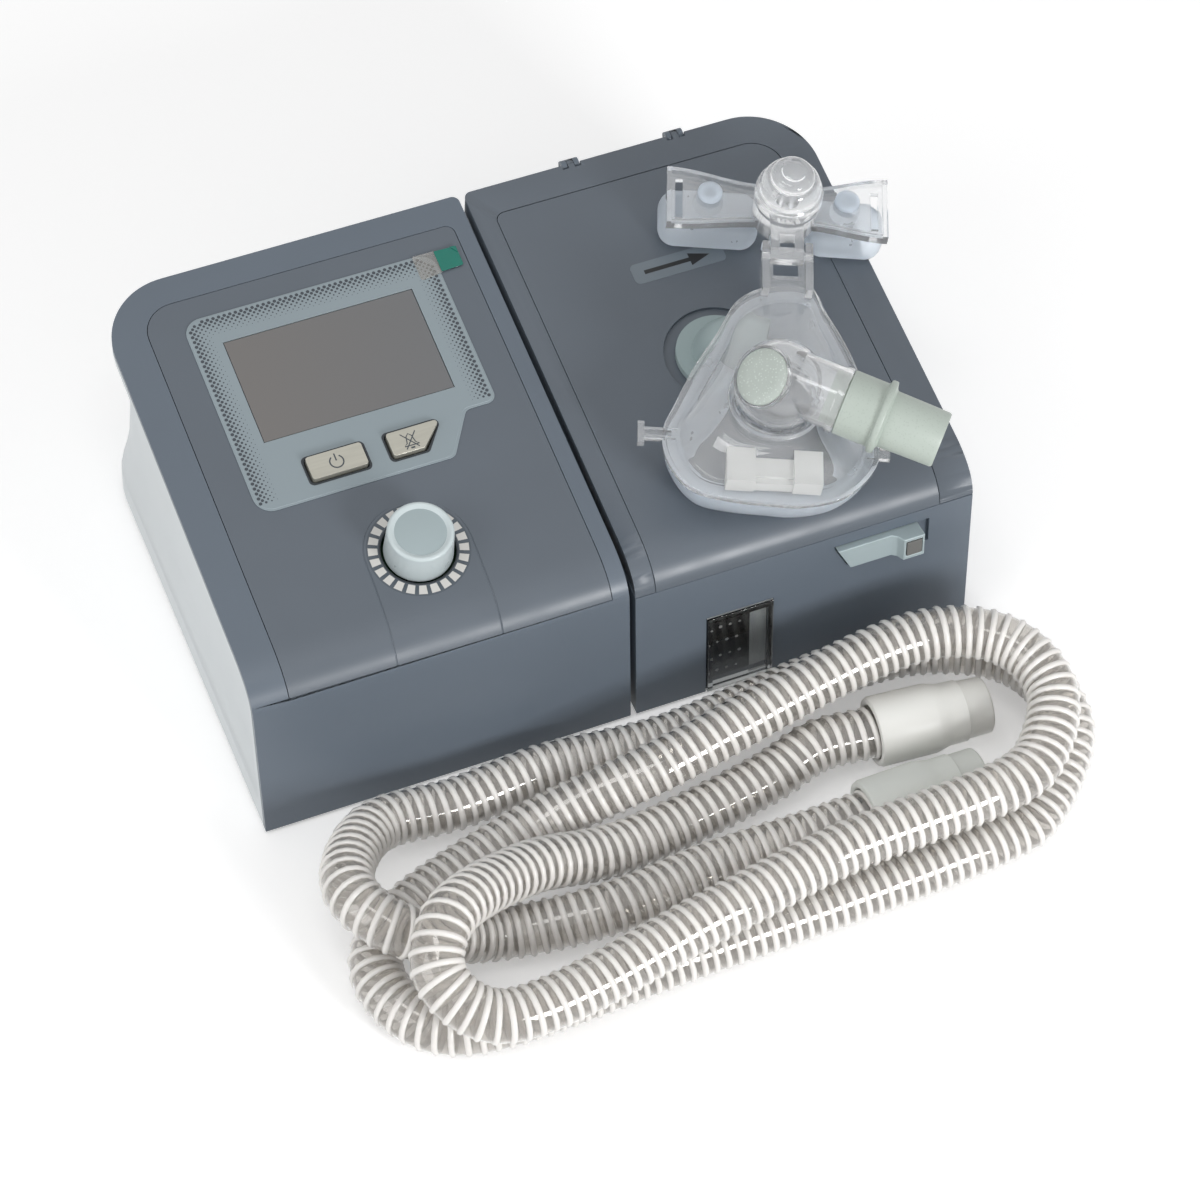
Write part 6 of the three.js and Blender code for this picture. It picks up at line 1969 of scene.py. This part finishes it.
@dataclass
class Hose(Assembly):
    """The loose hose: a pale coil on clear film, with a stepped cuff at each end."""

    body: str = "flow_generator"
    group: str = "hose"
    outer: float = 10.8
    pitch: float = 4.9
    coil: float = 1.4
    film: float = 9.9
    film_wall: float = 0.35
    bore: float = 9.4
    route: tuple = (
        (102, -148.7, 14.6), (80, -147, 14.6), (57, -145.2, 14.6), (36, -150, 12), (-31, -160, 13),
        (-73, -164, 28), (-114, -186, 49), (-123, -204, 44), (-108, -222, 35), (-12, -210, 34),
        (40, -201, 33), (118, -196, 34), (131, -189, 34), (147, -165, 35), (141, -140, 36),
        (113, -125, 36), (-7, -138, 25), (-61, -140, 13), (-125, -160, 11), (-137, -175, 11),
        (-134, -195, 11), (-118, -210, 11), (-22, -211, 11), (109, -206, 11), (125, -202, 11),
        (155, -170, 13), (150, -137, 12), (112, -115, 11), (0, -120, 11), (-46, -116, 11),
        (-83, -119, 12), (-118, -121, 17), (-139, -152, 33), (-128, -174, 33), (-89, -178, 12),
        (-44, -184, 14), (-1, -180, 12), (40, -181.6, 14.6), (62, -181, 14.6), (84, -180.4, 14.6))

    def line(self) -> list[Vector]:
        """Gives the centre line in metres."""
        return [self.frames.hose @ p for p in smooth_curve([Vector(p) for p in self.route], 24)]

    def line_object(self) -> Piece:
        """Makes the centre line as a mesh of edges.

        Returns:
            The line as an object.
        """
        spots = self.line()
        mesh = bpy.data.meshes.new("hose_line")
        mesh.from_pydata([tuple(p) for p in spots], [(i, i + 1) for i in range(len(spots) - 1)], [])
        return linked("hose_line", mesh)

    def turns(self, length: float) -> int:
        """Gives the number of the coil's turns on a length in metres."""
        return round(length / (self.pitch * MM))

    def route_curve(self, t: Tree) -> Socket:
        """Turns the tree's edges into a curve that doesn't twist."""
        curve = t.add("GeometryNodeMeshToCurve", Mesh=t.given["Geometry"]).outputs["Curve"]
        return t.add("GeometryNodeSetCurveNormal", mode="MINIMUM_TWIST", Curve=curve).outputs["Curve"]

    def coil_mesh(self, length: float) -> Piece:
        """Winds the pale coil round the route, by Geometry Nodes.

        Args:
            length: the centre line's length in metres.

        Returns:
            The coil.
        """
        turns = self.turns(length)
        t = Tree("hose_coil", {
            "Turns": ("NodeSocketFloat", float(turns)), "Steps": ("NodeSocketInt", turns * 16 + 1),
            "Winding radius": ("NodeSocketFloat", (self.outer - self.coil) * MM),
            "Coil radius": ("NodeSocketFloat", self.coil * MM)})
        curve = self.route_curve(t)
        points = t.add("GeometryNodeMeshLine", Count=t.given["Steps"]).outputs["Mesh"]
        order = t.add("GeometryNodeInputIndex").outputs[0]
        share = t.math("DIVIDE", order, t.math("SUBTRACT", t.given["Steps"], 1.0))
        sample = t.add("GeometryNodeSampleCurve", mode="FACTOR", use_all_curves=True, Curves=curve,
                       Factor=share).outputs
        angle = t.math("MULTIPLY", t.math("MULTIPLY", share, t.given["Turns"]), 2 * math.pi)
        across = t.vector("CROSS_PRODUCT", sample["Tangent"], sample["Normal"])
        radius = t.given["Winding radius"]
        offset = t.vector("ADD", t.scale(sample["Normal"],
                                         t.math("MULTIPLY", t.math("COSINE", angle), radius)),
                          t.scale(across, t.math("MULTIPLY", t.math("SINE", angle), radius)))
        spot = t.vector("ADD", sample["Position"], offset)
        place = t.add("GeometryNodeSetPosition", Geometry=points, Position=spot).outputs["Geometry"]
        winding = t.add("GeometryNodeMeshToCurve", Mesh=place).outputs["Curve"]
        t.finish(self.swept(t, winding, t.given["Coil radius"], 6), self.finishes["hose_rib"])
        return t.applied(self.line_object())

    def swept(self, t: Tree, curve: Socket, radius: Socket, around: int) -> Socket:
        """Sweeps a circle along a curve, with closed ends."""
        section = t.add("GeometryNodeCurvePrimitiveCircle", mode="RADIUS", Resolution=around,
                        Radius=radius)
        return t.add("GeometryNodeCurveToMesh", Curve=curve, Profile_Curve=section.outputs["Curve"],
                     Fill_Caps=True).outputs["Mesh"]

    def film_mesh(self, length: float) -> Piece:
        """Makes the clear film inside the coil, open at its ends, by Geometry Nodes.

        Args:
            length: the centre line's length in metres.

        Returns:
            The film with its thickness.
        """
        rings = self.turns(length) * 4 + 1
        t = Tree("hose_film", {"Rings": ("NodeSocketInt", rings),
                               "Film radius": ("NodeSocketFloat", self.film * MM)})
        again = t.add("GeometryNodeResampleCurve", Curve=self.route_curve(t),
                      Count=t.given["Rings"]).outputs["Curve"]
        t.finish(self.swept(t, again, t.given["Film radius"], 20), self.finishes["hose_film"])
        film = t.applied(self.line_object())
        with edited(film.data) as shape:
            caps = [f for f in shape.faces if len(f.verts) > 4]
            bmesh.ops.delete(shape, geom=caps, context="FACES")
        wall = film.modifiers.new("wall", "SOLIDIFY")
        wall.thickness = self.film_wall * MM
        wall.offset = -1.0
        return baked(film)

    def cuff(self, start: Point, end: Point, lift: float) -> Piece:
        """Makes one stepped cuff between two points of the hose's plane.

        Args:
            start: the hose's end.
            end: the cuff's open end.
            lift: extra depth of the seat that the hose ends on.

        Returns:
            The cuff.
        """
        axis = Vector(end) - Vector(start)
        length = axis.length
        big, middle, tip, hole, seat = 14.2, 12.5, 11.6, self.outer + S.gap, 22 + lift
        profile = [(hole, 0.6), (hole + 0.5, 0.1), (big - 1.6, 0), (big - 0.6, 0.4), (big, 1.8),
                   (big - 0.2, 0.50 * length), (big - 0.5, 0.53 * length),
                   (middle + 0.3, 0.60 * length), (middle, 0.63 * length),
                   (middle - 0.15, 0.775 * length), (tip + 0.4, 0.78 * length),
                   (tip + 0.1, 0.79 * length), (tip - 0.2, length - 1.2), (tip - 0.4, length - 0.4),
                   (tip - 0.9, length), (self.bore + 0.4, length), (self.bore, length - 0.4),
                   (self.bore, seat), (hole, seat), (hole, 0.6)]
        turn = Vector((0, 0, 1)).rotation_difference(axis.normalized()).to_matrix().to_4x4()
        return smooth(moved(lathe(profile, 96), Matrix.Translation(start) @ turn), 40)

    def build(self) -> None:
        spots = self.line()
        length = sum((b - a).length for a, b in zip(spots, spots[1:]))
        white = self.cuff((80, -147, 14.6), (127.6, -150.7, 14.6), 0.5)
        grey = self.cuff((62, -181, 14.6), (111.6, -179.6, 14.6), 0.5)
        metres = Matrix.Identity(4)
        white = self.hand_over(white, "white_cuff", "white_plastic", nodes=["hose_cuff_a"])
        grey = self.hand_over(grey, "grey_cuff", "pale_cuff", slot="cuff_plastic", nodes=["hose_cuff_b"])
        film = self.hand_over(smooth(self.film_mesh(length), 60), "hose_wall", "hose_film",
                              slot="hose_plastic", place=metres)
        coil = self.hand_over(smooth(self.coil_mesh(length), 80), "ribbed_hose", "hose_rib",
                              slot="hose_plastic", nodes=["hose"], place=metres)


# Camera, light and floor


@dataclass
class Studio:
    """The photograph's camera, a pale floor and soft light."""

    frames: Frames

    def camera(self) -> None:
        """Sets the camera where the photograph was taken from."""
        data = bpy.data.cameras.new("camera")
        data.lens = 122.75
        data.sensor_width = 36.0
        data.clip_start = 0.1
        data.clip_end = 20.0
        made = linked("camera", data)
        right = Vector((0.92394, -0.37917, 0.05075)).normalized()
        forward = Vector((0.25272, 0.50542, -0.82504)).normalized()
        up = right.cross(forward).normalized()
        right = forward.cross(up)
        turn = Matrix((right, up, -forward)).transposed().to_4x4()
        made.matrix_world = Matrix.Translation(self.frames.raw @ Vector((-407.3, -775.6, 1358.1))) @ turn
        bpy.context.scene.camera = made

    def lamp(self, name: str, place: Point, size: tuple[float, float], power: float) -> None:
        """Sets a soft rectangular lamp that looks at the machine.

        Args:
            name: the lamp's name.
            place: where it stands, in metres.
            size: its width and height in metres.
            power: its power in watts.
        """
        data = bpy.data.lights.new(name, "AREA")
        data.shape = "RECTANGLE"
        data.size, data.size_y = size
        data.energy = power
        made = linked(name, data)
        made.location = place
        made.rotation_mode = "QUATERNION"
        made.rotation_quaternion = (Vector(place) - Vector((0, -0.03, 0.06))).to_track_quat("Z", "Y")

    def floor(self) -> None:
        """Lays a white floor that keeps the machine's shadow."""
        side, level = 4.0, -0.0004
        corners = [(-side, -side, level), (side, -side, level), (side, side, level), (-side, side, level)]
        floor = mesh_object("floor", corners, [(0, 1, 2, 3)])
        n = Nodes("floor_white")
        n.shade(Base_Color=n.blend(n.noise(3.0), (0.90, 0.90, 0.90), (0.92, 0.92, 0.92)),
                Roughness=0.9, Specular_IOR_Level=0.1, Emission_Color=(1, 1, 1, 1),
                Emission_Strength=n.spread(n.seen(), 0.0, 0.3, 0.0, 1.0))
        floor.data.materials.append(n.material)

    def world(self) -> None:
        """Makes a plain white world, dimmer as light than as a backdrop."""
        world = bpy.data.worlds.new("studio")
        world.use_nodes = True
        bpy.context.scene.world = world
        graph = Graph(world.node_tree)
        reach = graph.add("ShaderNodeMapRange", To_Min=0.5, To_Max=1.0, Value=graph.seen())
        graph.fill(graph.tree.nodes["Background"],
                   {"Color": (1, 1, 1, 1), "Strength": reach.outputs["Result"]})

    def build(self) -> None:
        """Sets up camera, light and floor."""
        self.camera()
        self.lamp("front_soft_box", (0.42, -1.25, 0.58), (0.4, 0.4), 9.5)
        self.lamp("top_strip", (-0.3, -0.2, 1.65), (1.0, 0.3), 3.4)
        self.lamp("left_soft_box", (-1.4, -0.3, 0.8), (0.8, 1.2), 6.0)
        self.floor()
        self.world()
        bpy.context.scene.view_settings.view_transform = "Standard"


def main() -> None:
    """Makes every sub-assembly."""
    logging.basicConfig(level=logging.INFO, format="%(name)s %(message)s")
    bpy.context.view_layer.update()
    frames = Frames()
    finishes = Finishes()
    Studio(frames).build()
    for kind in (Hose, FlowGenerator, Humidifier, Mask):
        kind(frames, finishes).build()


if __name__ == "__main__":
    main()
